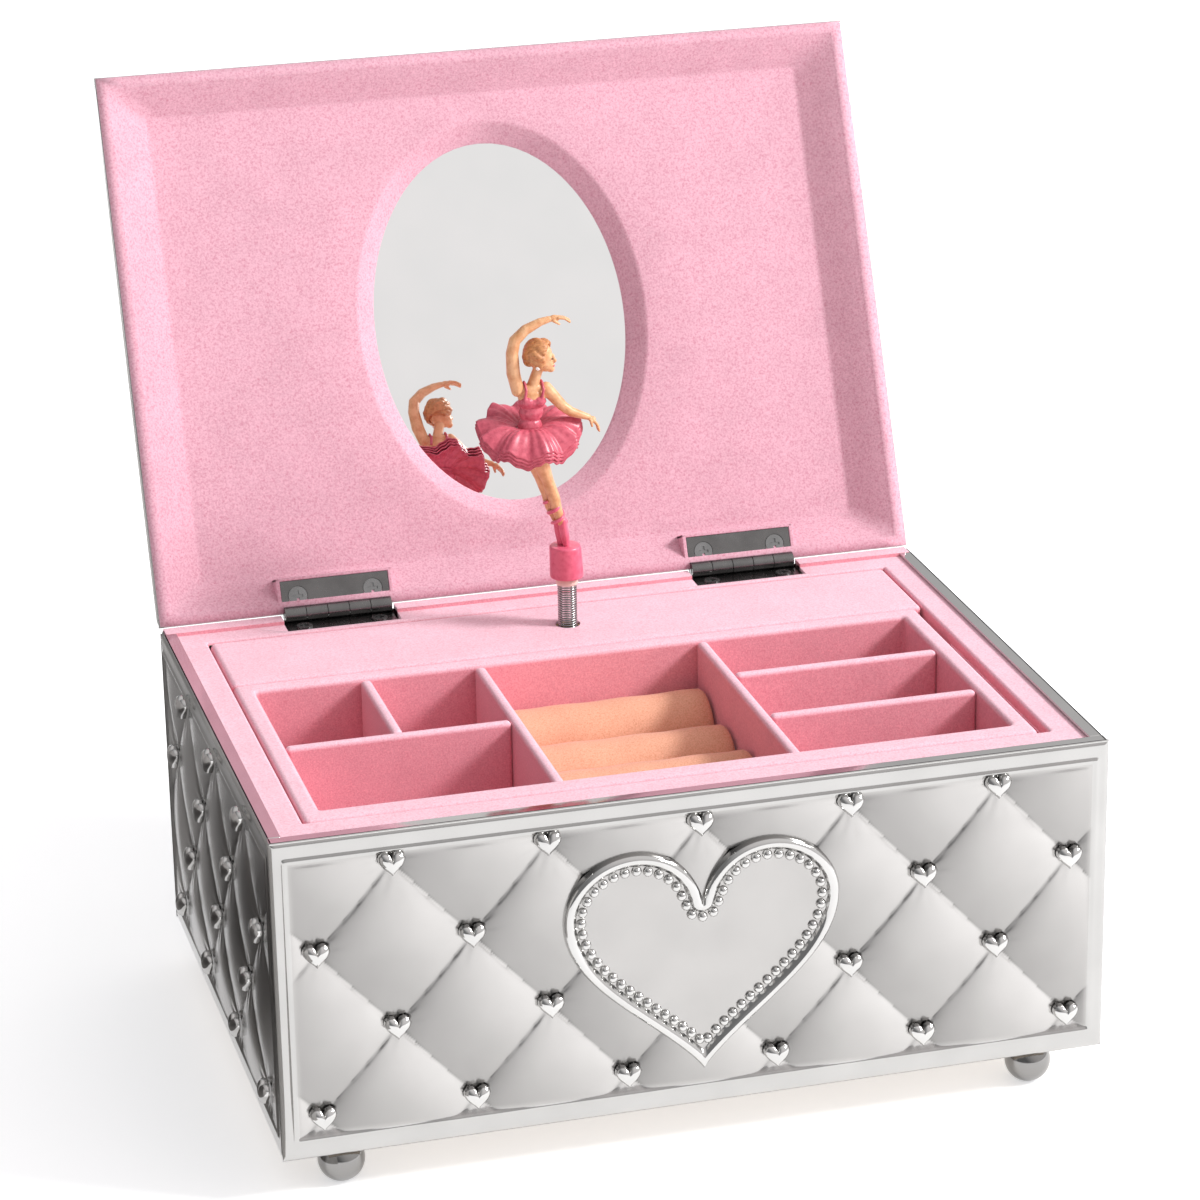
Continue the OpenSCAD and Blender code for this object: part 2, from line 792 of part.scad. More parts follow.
// Steel comb with one tuned tooth for each note
module comb() color(steel) placed() difference() {
    comb_t = 1;
    slot_w = 0.24;
    left = (cylinder_x0 + cylinder_x1) / 2 - notes * note_pitch / 2;
    block([cylinder_x0, comb_y, comb_z], [cylinder_x1, comb_tip_y, comb_z + comb_t]);
    for (i = [0 : notes])
        translate([left + i * note_pitch - slot_w / 2, comb_y + 8, comb_z - 1]) cube([slot_w, 30, 5]);
    for (x = comb_screw_xs)
        translate([x, comb_screw_y, 0]) cylinder(h = 60, r = 0.9);
}

module comb_screws() color(steel) placed()
    for (x = comb_screw_xs)
        translate([x, comb_screw_y, comb_z + 1.02]) screw(2, 1, 0.8, 4);

module movement_screws() color(steel) placed()
    for (p = movement_screw_points)
        translate([p[0], p[1], bed_top + 0.02]) screw(2.4, 1.2, 1.3, bed_t + base_t - 0.5);

// Frame that carries the governor's wheel and worm
module governor_frame() color("darkgray") placed() {
    x0 = worm_wheel_x - 3.2;
    x1 = worm_wheel_x + 3;
    front_y = move_y - 7;
    back_y = move_y + 11;
    z0 = bed_top + gap;
    foot_z = z0 + 1.2;
    side_z = pinion_z + 4;
    arm_z = pinion_z + 5;
    arm_top = pinion_z + 6.5;
    arm_half = 1.6;
    difference() {
        union() {
            // side plates that hold the wheel's shaft
            block([x0 - 1, front_y, z0], [x0 + 0.4, back_y, side_z]);
            block([x1 - 0.4, front_y, z0], [x1 + 1, move_y - 1.4, side_z]);
            block([x1 - 0.4, move_y - 1.5, z0 + 0.9], [x1 + 1, move_y + 2.4, pinion_z + 2.4]);
            // strips on the bedplate that join them
            block([x0 + 0.3, back_y - 2, z0], [x1, back_y, foot_z]);
            block([x0 + 0.3, front_y, z0], [x1 + 0.3, front_y + 1.4, foot_z]);
            block([worm_wheel_x - 2.2, worm_y - 2.2, z0], [worm_wheel_x + 2.2, back_y, foot_z]);
            // arm that holds the worm's top end
            block([x0 + 0.3, worm_y - arm_half, arm_z], [worm_wheel_x + 2, worm_y + arm_half, arm_top]);
            block([x0 - 1, worm_y - arm_half, side_z - 0.1], [x0 + 0.4, worm_y + arm_half, arm_top]);
        }
        translate([x0 - 5, move_y, pinion_z]) rotate([0, 90, 0]) cylinder(h = 30, r = shaft_r + running);
        translate([worm_wheel_x, worm_y, 0]) cylinder(h = 60, r = shaft_r + running);
    }
}

shaft_r = 0.6;

module winding_arbor() color(steel) placed() translate([barrel_x, move_y, 0]) {
    cylinder_top = crown_rim_z + 1;
    translate([0, 0, base_z - 2]) cylinder(h = cylinder_top - base_z + 2, r = arbor_r);
}

// Each saw tooth's corners: share of one tooth's turn, and radius
tooth_corners = [[0, ratchet_r - 0.7], [0.1, ratchet_r], [0.9, ratchet_r - 0.6]];

// Saw-toothed wheel that the click holds
module ratchet_wheel() color(brassy) placed() translate([barrel_x, move_y, ratchet_z]) difference() {
    linear_extrude(ratchet_t) polygon([
        for (i = [0 : ratchet_teeth - 1], c = tooth_corners)
            c[1] * [cos((i + c[0]) * 360 / ratchet_teeth), sin((i + c[0]) * 360 / ratchet_teeth)]
    ]);
    translate([0, 0, -1]) cylinder(h = 5, r = arbor_r + 0.01);
}

// Butterfly key: hub on the arbor and two round wings
module winding_key() color(steel) placed() translate([barrel_x, move_y, 0]) difference() {
    key_z = 2.6;
    wing_h = 6.6;
    wing_t = 1.6;
    union() {
        translate([0, 0, key_z + 1]) cylinder(h = base_z - key_z, r = 3.2);
        for (s = [-1, 1])
            translate([s * 6.2, wing_t / 2, key_z + wing_h / 2]) rotate([90, 0, 0])
                cylinder(h = wing_t, r = wing_h / 2);
        block([-6.2, -wing_t / 2, key_z + 0.8], [6.2, wing_t / 2, key_z + wing_h - 0.8]);
    }
    translate([0, 0, base_z - 2.02]) cylinder(h = 20, r = arbor_r + 0.01);
}

click_x = barrel_x + 10;
click_y = move_y - 4;
click_pin_r = 0.8;

// Sprung pawl on the bedplate, its tip between two ratchet teeth
module click_pawl() color(steel) placed() translate([0, 0, ratchet_z + 0.1]) difference() {
    union() {
        translate([click_x, click_y, 0]) cylinder(h = 1.2, r = 1.8);
        linear_extrude(1.2) polygon([
            [click_x - 0.6, click_y + 1.4],
            [click_x + 1.5, click_y + 0.4],
            [barrel_x + ratchet_r + 0.75, move_y + 1.6],
            [barrel_x + ratchet_r + 0.3, move_y + 1.3]
        ]);
    }
    translate([click_x, click_y, -1]) cylinder(h = 5, r = click_pin_r + running);
}

// Drum that holds the mainspring, with crown teeth on its rim
module spring_barrel() color(brassy) placed() translate([barrel_x, move_y, barrel_z]) {
    drum_wall = 0.9;
    difference() {
        cylinder(h = barrel_h, r = barrel_r);
        translate([0, 0, drum_wall]) cylinder(h = barrel_h, r = barrel_pitch_r - 1.2);
        translate([0, 0, -1]) cylinder(h = 20, r = arbor_r + running);
    }
    translate([0, 0, barrel_h - 0.05]) crown_teeth(barrel_teeth, barrel_pitch_r, 1.5, 0.55);
}

module barrel_cover() color(brassy) placed() translate([barrel_x, move_y, crown_rim_z - 0.9]) difference() {
    cylinder(h = 0.8, r = barrel_pitch_r - 1.25);
    translate([0, 0, -1]) cylinder(h = 5, r = arbor_r + running);
}

// Flat spring wound in a spiral from the arbor to the drum
module mainspring() color(steel) placed() translate([barrel_x, move_y, barrel_z + 1.1]) {
    turns = 6;
    r0 = arbor_r + 0.4;
    r1 = barrel_pitch_r - 1.8;
    strip = 0.3;
    steps = turns * 24;
    inner = [for (i = [0 : steps]) (r0 + (r1 - r0) * i / steps) * [cos(i * 15), sin(i * 15)]];
    outer = [for (i = [steps : -1 : 0]) (r0 + strip + (r1 - r0) * i / steps) * [cos(i * 15), sin(i * 15)]];
    linear_extrude(barrel_h - 2.4) polygon(concat(inner, outer));
}

module on_cylinder_axis(x) translate([x, move_y, cylinder_z]) rotate([0, 90, 0]) children();

pin_reach = 0.5;

// Brass drum with three pins on every note's track
module pinned_cylinder() color(brassy) placed() {
    pins_per_note = 3;
    difference() {
        on_cylinder_axis(cylinder_x0) cylinder(h = cylinder_len, r = cylinder_r);
        on_cylinder_axis(cylinder_x0 + 1) cylinder(h = cylinder_len - 2, r = cylinder_r - 1);
        on_cylinder_axis(cylinder_x0 - 1) cylinder(h = 40, r = arbor_small_r + 0.01);
    }
    for (n = [0 : notes - 1], k = [0 : pins_per_note - 1])
        on_cylinder_axis(cylinder_x0 + (cylinder_len - (notes - 1) * note_pitch) / 2 + n * note_pitch)
            rotate(n * 97 + k * 131) rotate([0, 90, 0])
                translate([0, 0, cylinder_r - 0.6]) cylinder(h = 0.6 + pin_reach, r = 0.25, $fn = 16);
}

module cylinder_arbor() color(steel) placed()
    on_cylinder_axis(great_x - 3.2) cylinder(h = bridge_x1 + 0.2 - (great_x - 3.2), r = arbor_small_r);

module cylinder_gears() color(brassy) placed() {
    on_cylinder_axis(drive_x - gear_t / 2) spur_gear(drive_teeth, gear_t - 0.8, arbor_small_r + 0.01);
    on_cylinder_axis(great_x - gear_t / 2) spur_gear(great_teeth, gear_t, arbor_small_r + 0.01);
}

// The second shaft: a pinion driven by the great wheel, and the worm wheel
module governor_wheel() color(brassy) placed() translate([0, move_y, pinion_z]) rotate([0, 90, 0]) {
    translate([0, 0, great_x - gear_t / 2 - 0.2])
        rotate(180 / pinion_teeth)
            spur_gear(pinion_teeth, gear_t + 0.4, shaft_r - 0.05);
    translate([0, 0, worm_wheel_x - 0.8]) spur_gear(worm_teeth, 1.6, shaft_r - 0.05);
    translate([0, 0, worm_wheel_x - 4]) cylinder(h = great_x + 1.2 - worm_wheel_x + 4, r = shaft_r);
}

// Upright two-start worm with the air brake's two wings
module governor_fly() color("whitesmoke") placed() translate([worm_wheel_x, worm_y, 0]) {
    fly_w = 11;
    fly_h = 9;
    worm_z0 = pinion_z - worm_l / 2;
    worm_z1 = pinion_z + worm_l / 2;
    translate([0, 0, bed_top + 0.6]) cylinder(h = worm_z0 + 0.2 - bed_top - 0.6, r = shaft_r);
    translate([0, 0, worm_z1 - 0.2]) cylinder(h = fly_z + fly_h - worm_z1 - 0.4, r = shaft_r);
    // turned so that a gap between the wheel's teeth faces each thread
    translate([0, 0, worm_z0]) rotate(90 - 360 * (worm_l / 2 - worm_lead / 4) / worm_lead)
        linear_extrude(worm_l, twist = -360 * worm_l / worm_lead, slices = 36) {
            circle(r = 0.85, $fn = 20);
            square([2 * worm_r, 0.75], center = true);
        }
    translate([-fly_w / 2, -0.3, fly_z]) cube([fly_w, 0.6, fly_h]);
}

// ---------- Spindle and dancer ----------

spindle_r = 1.4;
bush_r = 3.1;

module spindle_bush() color(brassy) placed() translate([spindle_x, move_y, 0]) difference() {
    bush_z = crown_z + 12;
    bush_top = spring_z0 - 0.6;
    union() {
        translate([0, 0, bush_z]) cylinder(h = velvet_z - 0.6 - bush_z, r = bush_r);
        translate([0, 0, velvet_z - deck_t - 1.2]) cylinder(h = 1.1, r = bush_r + 2);
    }
    translate([0, 0, bush_z - 1]) cylinder(h = 60, r = spindle_r + running);
    translate([0, 0, bush_top]) cylinder(h = 60, r = spring_r + 0.2);
}

module spindle() color(steel) placed() translate([spindle_x, move_y, 0]) {
    translate([0, 0, crown_z + 0.5]) cylinder(h = spring_z0 + 4 - crown_z - 0.5, r = spindle_r);
}

module crown_wheel() color(brassy) placed() translate([spindle_x, move_y, crown_z]) {
    difference() {
        translate([0, 0, tooth_h]) cylinder(h = 2.2, r = drive_r + 0.8);
        cylinder(h = 60, r = spindle_r + 0.01);
    }
    translate([0, 0, tooth_h + 0.05]) mirror([0, 0, 1]) crown_teeth(drive_teeth, drive_r, 1.5, 0.55);
}

module coil_spring() color(steel) placed() translate([spindle_x, move_y, spring_z0]) difference() {
    cylinder(h = cap_z - spring_z0 - 0.1, r = spring_r);
    translate([0, 0, -1]) cylinder(h = 60, r = spindle_r + 0.02);
}

module spring_cap() color("mistyrose") placed() translate([spindle_x, move_y, cap_z]) difference() {
    cylinder(h = collar_z - cap_z - gap, r = spring_r + 0.35);
    translate([0, 0, -1]) cylinder(h = 60, r = 1.45);
}

module dancer_collar() color("palevioletred") placed()
    translate([spindle_x, move_y, collar_z])
        cylinder(h = collar_h, r = 4.2);

// Heights below are above the deck; x and y are from the spindle's axis
function at_dancer(x, y, h) = [spindle_x + x, move_y + y, velvet_z + h];

hip_h = 46;
chest_h = 58;
head_h = 70;
skin_c = "bisque";

module dancer() color(skin_c) placed() {
    limb(at_dancer(-0.6, -0.8, 23.1), at_dancer(-3.4, -0.9, 33), 1.9, 1.7);
    limb(at_dancer(-3.4, -0.9, 33), at_dancer(-7.4, -1, hip_h), 1.7, 2.5);
    limb(at_dancer(-1.4, 1, 23.1), at_dancer(-3.9, 1, 33), 1.8, 1.7);
    limb(at_dancer(-3.9, 1, 33), at_dancer(-8, 1, hip_h), 1.7, 2.5);
    limb(at_dancer(-7.7, 0, hip_h), at_dancer(-6.8, 0, 54), 3.2, 2.6);
    limb(at_dancer(-6.8, 0, 54), at_dancer(-6.4, 0, chest_h), 2.6, 3);
    limb(at_dancer(-6.2, 0, chest_h + 3), at_dancer(-5.4, 0, head_h - 3), 1.4, 1.4);
    translate(at_dancer(-4.8, 0, head_h)) sphere(r = 4.2);
    // raised arm, curved over the head
    limb(at_dancer(-10.4, 0, chest_h + 2.4), at_dancer(-11.6, 0, 72), 1.5, 1.3);
    limb(at_dancer(-11.6, 0, 72), at_dancer(-6.6, 0, 78), 1.3, 1.1);
    limb(at_dancer(-6.6, 0, 78), at_dancer(2.8, 0, 78), 1.1, 0.8);
    limb(at_dancer(-10.4, 0, chest_h + 2.4), at_dancer(-2.9, 0, chest_h + 2.4), 1.6, 1.6);
    // lowered arm, held out to the side
    limb(at_dancer(-2.9, 0, chest_h + 2.4), at_dancer(2, -0.5, 56), 1.5, 1.2);
    limb(at_dancer(2, -0.5, 56), at_dancer(8.6, -1, 50.4), 1.2, 0.8);
}

// Pleated skirt round the hips, as one closed solid
module tutu() color("hotpink") placed() difference() {
    translate(at_dancer(-8, 0, 44.5)) hull() {
        linear_extrude(1) polygon(oval_points(tutu_rx, tutu_ry, 32));
        translate([0, 0, 8.6]) linear_extrude(1.2) polygon(oval_points(tutu_rx * 0.75, tutu_ry * 0.7, 32));
    }
    translate(at_dancer(-7.6, 0, 40)) cylinder(h = 30, r = 5);
}

// ---------- Drawing ----------

base_board();
front_wall();
rear_wall();
left_wall();
right_wall();
front_panel();
rear_panel();
left_panel();
right_panel();
heart_plaque();
velvet_ledge();
interior_lining();
floor_pad();
deck();
deck_riser();
movement_partition();
movement_cover();
tray_rails();
ball_feet();
foot_screws();
hinge_box_leaves();
hinge_pins();
hinge_box_screws();
movement_bedplate();
comb();
comb_screws();
governor_frame();
movement_screws();
spindle_bush();
lid_shell();
lid_board();
lid_lining();
mirror_node();  // mirror
hinge_lid_leaves();
hinge_lid_screws();
tray_walls();
tray_floor();
tray_dividers();
ring_rolls();
winding_arbor();
ratchet_wheel();
winding_key();
click_pawl();
spring_barrel();
barrel_cover();
mainspring();
pinned_cylinder();
cylinder_arbor();
cylinder_gears();
governor_wheel();
governor_fly();
spindle();
crown_wheel();
coil_spring();
spring_cap();
dancer_collar();
dancer();
tutu();
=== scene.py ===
"""Looks for the wind-up music box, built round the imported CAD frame.

Lengths are in millimetres in the row frame, unless a name ends in _m.
"""

import json
import math

import bmesh
import bpy
import numpy as np
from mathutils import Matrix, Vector


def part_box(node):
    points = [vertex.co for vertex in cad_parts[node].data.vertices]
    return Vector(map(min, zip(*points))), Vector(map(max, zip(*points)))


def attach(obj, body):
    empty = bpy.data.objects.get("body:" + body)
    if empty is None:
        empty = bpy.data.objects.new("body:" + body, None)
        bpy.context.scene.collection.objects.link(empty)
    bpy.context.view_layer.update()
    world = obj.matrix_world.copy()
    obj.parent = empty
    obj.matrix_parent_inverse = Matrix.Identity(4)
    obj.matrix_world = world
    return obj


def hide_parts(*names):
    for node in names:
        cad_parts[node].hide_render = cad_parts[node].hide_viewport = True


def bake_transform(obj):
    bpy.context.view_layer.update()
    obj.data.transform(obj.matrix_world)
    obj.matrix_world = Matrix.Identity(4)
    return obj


MM = 0.001
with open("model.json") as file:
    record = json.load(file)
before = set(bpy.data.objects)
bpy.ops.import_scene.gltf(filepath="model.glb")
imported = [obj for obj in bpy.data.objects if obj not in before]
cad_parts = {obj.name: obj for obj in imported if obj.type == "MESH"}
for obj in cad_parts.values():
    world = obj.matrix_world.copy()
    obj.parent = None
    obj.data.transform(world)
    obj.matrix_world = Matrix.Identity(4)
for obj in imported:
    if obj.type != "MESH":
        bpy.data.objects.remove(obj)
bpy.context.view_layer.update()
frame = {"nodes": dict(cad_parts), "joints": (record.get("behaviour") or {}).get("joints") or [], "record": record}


# ---------- Places taken from the CAD frame ----------


def corners(node):
    """Lowest and highest corner of a CAD node, in millimetres."""
    low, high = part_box(node)
    return np.array(low) / MM, np.array(high) / MM


def joint(name):
    return next(j for j in frame["joints"] if j["name"] == name)


SHEET = 0.8
SHEET_AND_GAP = 0.85
board_low, board_high = corners("base_board")
HALF_W = board_high[0] + SHEET_AND_GAP
FRONT_Y = board_low[1] - SHEET_AND_GAP
REAR_Y = board_high[1] + SHEET_AND_GAP
BASE_Z = board_low[2]
RIM_Z = corners("front_panel")[1][2]
LIP_W = 3.6
REAR_FOLD = 0.9
VELVET_Z = corners("deck")[1][2]

lid_joint = joint("lid_hinge")
PIVOT = np.array(lid_joint["pos_m"]) / MM
LID_OPEN = math.radians(-lid_joint["range_deg"][0])
LID_Z = PIVOT[2] + 0.15
SPINDLE = (corners("spindle")[0] + corners("spindle")[1]) / 2


def opened(points):
    """Points of the closed lid, swung to where the open lid holds them."""
    p = np.asarray(points, float) - PIVOT
    c, s = math.cos(-LID_OPEN), math.sin(-LID_OPEN)
    return np.stack([p[..., 0], c * p[..., 1] - s * p[..., 2], s * p[..., 1] + c * p[..., 2]], -1) + PIVOT


# ---------- Mesh helpers ----------


def add_object(name, mesh):
    obj = bpy.data.objects.new(name, mesh)
    bpy.context.scene.collection.objects.link(obj)
    return obj


def mesh_object(name, points, faces, smooth=True):
    mesh = bpy.data.meshes.new(name)
    mesh.from_pydata((np.asarray(points, float).reshape(-1, 3) * MM).tolist(), [], [tuple(f) for f in faces])
    mesh.update()
    if smooth:
        mesh.polygons.foreach_set("use_smooth", [True] * len(mesh.polygons))
    return add_object(name, mesh)


def grid_faces(rows, cols, start=0, closed=False):
    """Quads of a grid stored row by row; closed joins the last column to the first."""
    faces = []
    for r in range(rows - 1):
        here, above = start + r * cols, start + (r + 1) * cols
        for c in range(cols if closed else cols - 1):
            d = (c + 1) % cols
            faces.append((here + c, here + d, above + d, above + c))
    return faces


def grid_rim(rows, cols):
    """Indices of a grid's outer points, once round."""
    return (
        list(range(cols))
        + [r * cols + cols - 1 for r in range(1, rows)]
        + [(rows - 1) * cols + c for c in range(cols - 2, -1, -1)]
        + [r * cols for r in range(rows - 2, 0, -1)]
    )


def circle(x, y, z, radius, count):
    """A level ring of points round an upright axis."""
    turn = np.linspace(0, 2 * math.pi, count, endpoint=False)
    return np.stack([x + radius * np.cos(turn), y + radius * np.sin(turn), np.full(count, z)], -1)


def rings_object(name, rings, cap_first=False, cap_last=False):
    """A surface through closed rings that all hold the same number of points."""
    count = len(rings[0])
    faces = grid_faces(len(rings), count, closed=True)
    if cap_first:
        faces.append(tuple(range(count))[::-1])
    if cap_last:
        faces.append(tuple(range((len(rings) - 1) * count, len(rings) * count)))
    return mesh_object(name, np.concatenate([np.asarray(r, float) for r in rings]), faces)


def join(name, objects):
    """One object out of several; materials stay with their faces."""
    with bpy.context.temp_override(
        active_object=objects[0], selected_editable_objects=objects, selected_objects=objects
    ):
        bpy.ops.object.join()
    objects[0].name = name
    objects[0].data.name = name
    return objects[0]


def fix_normals(obj):
    bm = bmesh.new()
    bm.from_mesh(obj.data)
    bmesh.ops.recalc_face_normals(bm, faces=bm.faces)
    bm.to_mesh(obj.data)
    bm.free()
    return obj


def apply_modifiers(obj):
    depsgraph = bpy.context.evaluated_depsgraph_get()
    mesh = bpy.data.meshes.new_from_object(obj.evaluated_get(depsgraph))
    old = obj.data
    obj.modifiers.clear()
    obj.data = mesh
    mesh.name = obj.name
    bpy.data.meshes.remove(old)
    return obj


def paint(obj, material):
    obj.data.materials.clear()
    obj.data.materials.append(material)
    return obj


def soft_box(name, low, high, radius, segments=4):
    """A box whose edges are all rounded."""
    low, high = np.array(low, float), np.array(high, float)
    bm = bmesh.new()
    bmesh.ops.create_cube(bm, size=1)
    for v in bm.verts:
        v.co = Vector((low + high) / 2 + np.array(v.co) * (high - low)) * MM
    bmesh.ops.bevel(
        bm,
        geom=bm.edges[:],
        offset=radius * MM,
        segments=segments,
        affect="EDGES",
        profile=0.5,
        clamp_overlap=True,
    )
    mesh = bpy.data.meshes.new(name)
    bm.to_mesh(mesh)
    bm.free()
    mesh.polygons.foreach_set("use_smooth", [True] * len(mesh.polygons))
    obj = add_object(name, mesh)
    return weighted(obj)


def weighted(obj):
    """Flat faces keep flat shading beside their rounded edges."""
    modifier = obj.modifiers.new("weighted", "WEIGHTED_NORMAL")
    modifier.keep_sharp = True
    return apply_modifiers(obj)


def rect_loop(low, high, z, radius, per_side=12, per_corner=5):
    """A rounded rectangle at height z, counter-clockwise from its front edge."""
    x0, y0, x1, y1 = low[0], low[1], high[0], high[1]
    left, right, front, rear = x0 + radius, x1 - radius, y0 + radius, y1 - radius
    centres = [(right, front), (right, rear), (left, rear), (left, front)]
    points = []
    for side in range(4):
        cx, cy = centres[side]
        for k in range(per_corner + 1):
            a = math.radians(-90 + side * 90 + 90 * k / per_corner)
            points.append((cx + radius * math.cos(a), cy + radius * math.sin(a), z))
        nx, ny = centres[(side + 1) % 4]
        a = math.radians(side * 90)
        start = np.array(points[-1])
        end = np.array((nx + radius * math.cos(a), ny + radius * math.sin(a), z))
        for k in range(1, per_side):
            points.append(tuple(start + (end - start) * k / per_side))
    return np.array(points)


def rounded_profile(z0, z1, radius, steps=5):
    """Inset and height up one side of a wall with a rounded top edge."""
    pairs = [(0, z0), (0, z0 + 0.6 * (z1 - radius - z0)), (0, z1 - radius)]
    for k in range(1, steps + 1):
        a = math.pi / 2 * k / steps
        pairs.append((radius * (1 - math.cos(a)), z1 - radius + radius * math.sin(a)))
    return pairs


def wall_ring(name, outer, inner, z0, z1, radius, corner=2.0):
    """Four walls in one piece, with rounded top edges and rounded corners."""
    low, high = np.array(outer[0], float), np.array(outer[1], float)
    in_low, in_high = np.array(inner[0], float), np.array(inner[1], float)
    rings = []
    for inset, z in rounded_profile(z0, z1, radius):
        rings.append(rect_loop(low + inset, high - inset, z, max(corner - inset, 0.3)))
    for inset, z in reversed(rounded_profile(z0, z1, radius)):
        rings.append(rect_loop(in_low - inset, in_high + inset, z, corner * 0.5 + inset))
    rings.append(rings[0])
    return fix_normals(weighted(rings_object(name, rings)))


# ---------- Materials ----------


# Attribute holding the quilting's painted shading, read by the silver materials.
QUILT_PAINTED_SHADE = "quilt_painted_shade"


class Nodes:
    """A material's node tree with short ways to add nodes and links."""

    def __init__(self, name):
        self.material = bpy.data.materials.new(name)
        self.material.use_nodes = True
        self.tree = self.material.node_tree
        self.shader = self.tree.nodes["Principled BSDF"]
        self.coords = self.tree.nodes.new("ShaderNodeTexCoord").outputs["Object"]

    def add(self, kind, **values):
        node = self.tree.nodes.new("ShaderNode" + kind)
        for key, value in values.items():
            if key in node.inputs:
                node.inputs[key].default_value = value
            else:
                setattr(node, key, value)
        return node

    def link(self, output, socket):
        self.tree.links.new(output, socket)

    def noise(self, size, detail=3.0, roughness=0.6, stretch=(1, 1, 1)):
        """Noise whose blotches are about size millimetres across."""
        mapping = self.add("Mapping")
        mapping.inputs["Scale"].default_value = stretch
        self.link(self.coords, mapping.inputs["Vector"])
        noise = self.add("TexNoise", Scale=1 / (size * MM), Detail=detail, Roughness=roughness)
        self.link(mapping.outputs["Vector"], noise.inputs["Vector"])
        return noise.outputs["Fac"]

    def ramp(self, factor, stops):
        ramp = self.add("ValToRGB")
        elements = ramp.color_ramp.elements
        while len(elements) < len(stops):
            elements.new(0.5)
        for element, (position, color) in zip(elements, stops):
            element.position = position
            element.color = (*color, 1)
        self.link(factor, ramp.inputs["Fac"])
        return ramp.outputs["Color"]

    def range(self, factor, low, high):
        node = self.add("MapRange")
        node.inputs["To Min"].default_value = low
        node.inputs["To Max"].default_value = high
        self.link(factor, node.inputs["Value"])
        return node.outputs["Result"]

    def mix(self, factor, first, second, blend="MIX"):
        node = self.add("Mix", data_type="RGBA", blend_type=blend)
        for socket, value in ((node.inputs[0], factor), (node.inputs[6], first), (node.inputs[7], second)):
            if isinstance(value, bpy.types.NodeSocket):
                self.link(value, socket)
            elif isinstance(value, tuple):
                socket.default_value = (*value, 1)
            else:
                socket.default_value = value
        return node.outputs[2]

    def bump(self, height, strength, distance):
        node = self.add("Bump", Strength=strength, Distance=distance * MM)
        self.link(height, node.inputs["Height"])
        previous = self.shader.inputs["Normal"].links
        if previous:
            self.link(previous[0].from_socket, node.inputs["Normal"])
        self.link(node.outputs["Normal"], self.shader.inputs["Normal"])

    def color(self, output):
        self.link(output, self.shader.inputs["Base Color"])

    def rough(self, output):
        self.link(output, self.shader.inputs["Roughness"])

    def set(self, **values):
        for key, value in values.items():
            self.shader.inputs[key.replace("_", " ")].default_value = value


def shade(color, factor):
    return tuple(min(c * factor, 1.0) for c in color)


def velvet(name, color, deep, sheen, grain=0.35, upright=(1, 1, 1)):
    """Flocked fibre: speckled pile, soft nap patches and a pale sheen, with painted shade that darkens and deepens
    upright faces.
    """
    n = Nodes(name)
    fibre = n.noise(grain, 2, 0.7)
    patch = n.noise(9, 3, 0.5)
    pile = n.ramp(fibre, [(0.28, deep), (0.5, color), (0.72, shade(color, 1.15))])
    nap = n.ramp(patch, [(0.3, (0.93, 0.93, 0.93)), (0.7, (1, 1, 1))])
    split = n.add("SeparateXYZ")
    n.link(n.tree.nodes["Texture Coordinate"].outputs["Normal"], split.inputs[0])
    # Painted shade: faces that stand upright are tinted darker and deeper than faces that look up.
    upright_painted_shade = n.ramp(split.outputs["Z"], [(0.1, upright), (0.8, (1, 1, 1))])
    n.color(n.mix(1.0, n.mix(1.0, pile, nap, "MULTIPLY"), upright_painted_shade, "MULTIPLY"))
    n.bump(fibre, 0.35, 0.12)
    n.set(Roughness=0.95, Sheen_Weight=sheen, Sheen_Roughness=0.35, Specular_IOR_Level=0.15)
    n.set(Sheen_Tint=(1.0, 0.86, 0.92, 1))
    return n.material


def silver(name, tone, roughness, spread, grain, bump):
    """Plated metal: fine scratches and soft unevenness in its polish, under the quilting's baked shading."""
    n = Nodes(name)
    soft = n.noise(14, 2, 0.5)
    fine = n.noise(grain, 3, 0.65, (1, 1, 0.25))
    plate = n.ramp(soft, [(0.3, shade(tone, 0.95)), (0.7, shade(tone, 1.03))])
    baked = n.add("Math", operation="ADD")
    n.link(n.add("Attribute", attribute_name=QUILT_PAINTED_SHADE).outputs["Fac"], baked.inputs[0])
    baked.inputs[1].default_value = 1.0
    n.color(n.mix(1.0, plate, baked.outputs[0], "MULTIPLY"))
    n.rough(n.range(fine, roughness - spread, roughness + spread))
    n.bump(fine, bump, 0.02)
    n.set(Metallic=1.0)
    return n.material


def metal(name, color, roughness, grain=0.5, bump=0.15):
    """Turned or stamped metal with a fine grain and small stains."""
    n = Nodes(name)
    fine = n.noise(grain, 4, 0.7, (1, 0.3, 1))
    stain = n.noise(6, 3, 0.6)
    n.color(n.ramp(stain, [(0.3, shade(color, 0.78)), (0.65, color)]))
    n.rough(n.range(fine, roughness * 0.7, roughness * 1.4))
    n.bump(fine, bump, 0.03)
    n.set(Metallic=1.0)
    return n.material


def plastic(name, color, dark, roughness=0.35, size=3.0):
    """Painted moulded plastic with uneven paint and a faint orange peel."""
    n = Nodes(name)
    paint_noise = n.noise(size, 3, 0.6)
    peel = n.noise(0.5, 2, 0.5)
    n.color(n.ramp(paint_noise, [(0.3, dark), (0.6, color)]))
    n.rough(n.range(peel, roughness * 0.8, roughness * 1.25))
    n.bump(peel, 0.15, 0.04)
    return n.material


def fibreboard(name):
    n = Nodes(name)
    flecks = n.noise(0.8, 5, 0.7, (1, 1, 3))
    n.color(n.ramp(flecks, [(0.3, (0.30, 0.25, 0.20)), (0.7, (0.50, 0.44, 0.37))]))
    n.bump(flecks, 0.3, 0.1)
    n.set(Roughness=0.85)
    return n.material


def mirror_material():
    n = Nodes("mirror_glass")
    haze = n.noise(20, 2, 0.5)
    n.color(n.ramp(haze, [(0.3, (0.86, 0.875, 0.87)), (0.7, (0.90, 0.905, 0.90))]))
    n.rough(n.range(haze, 0.008, 0.02))
    n.set(Metallic=1.0)
    return n.material
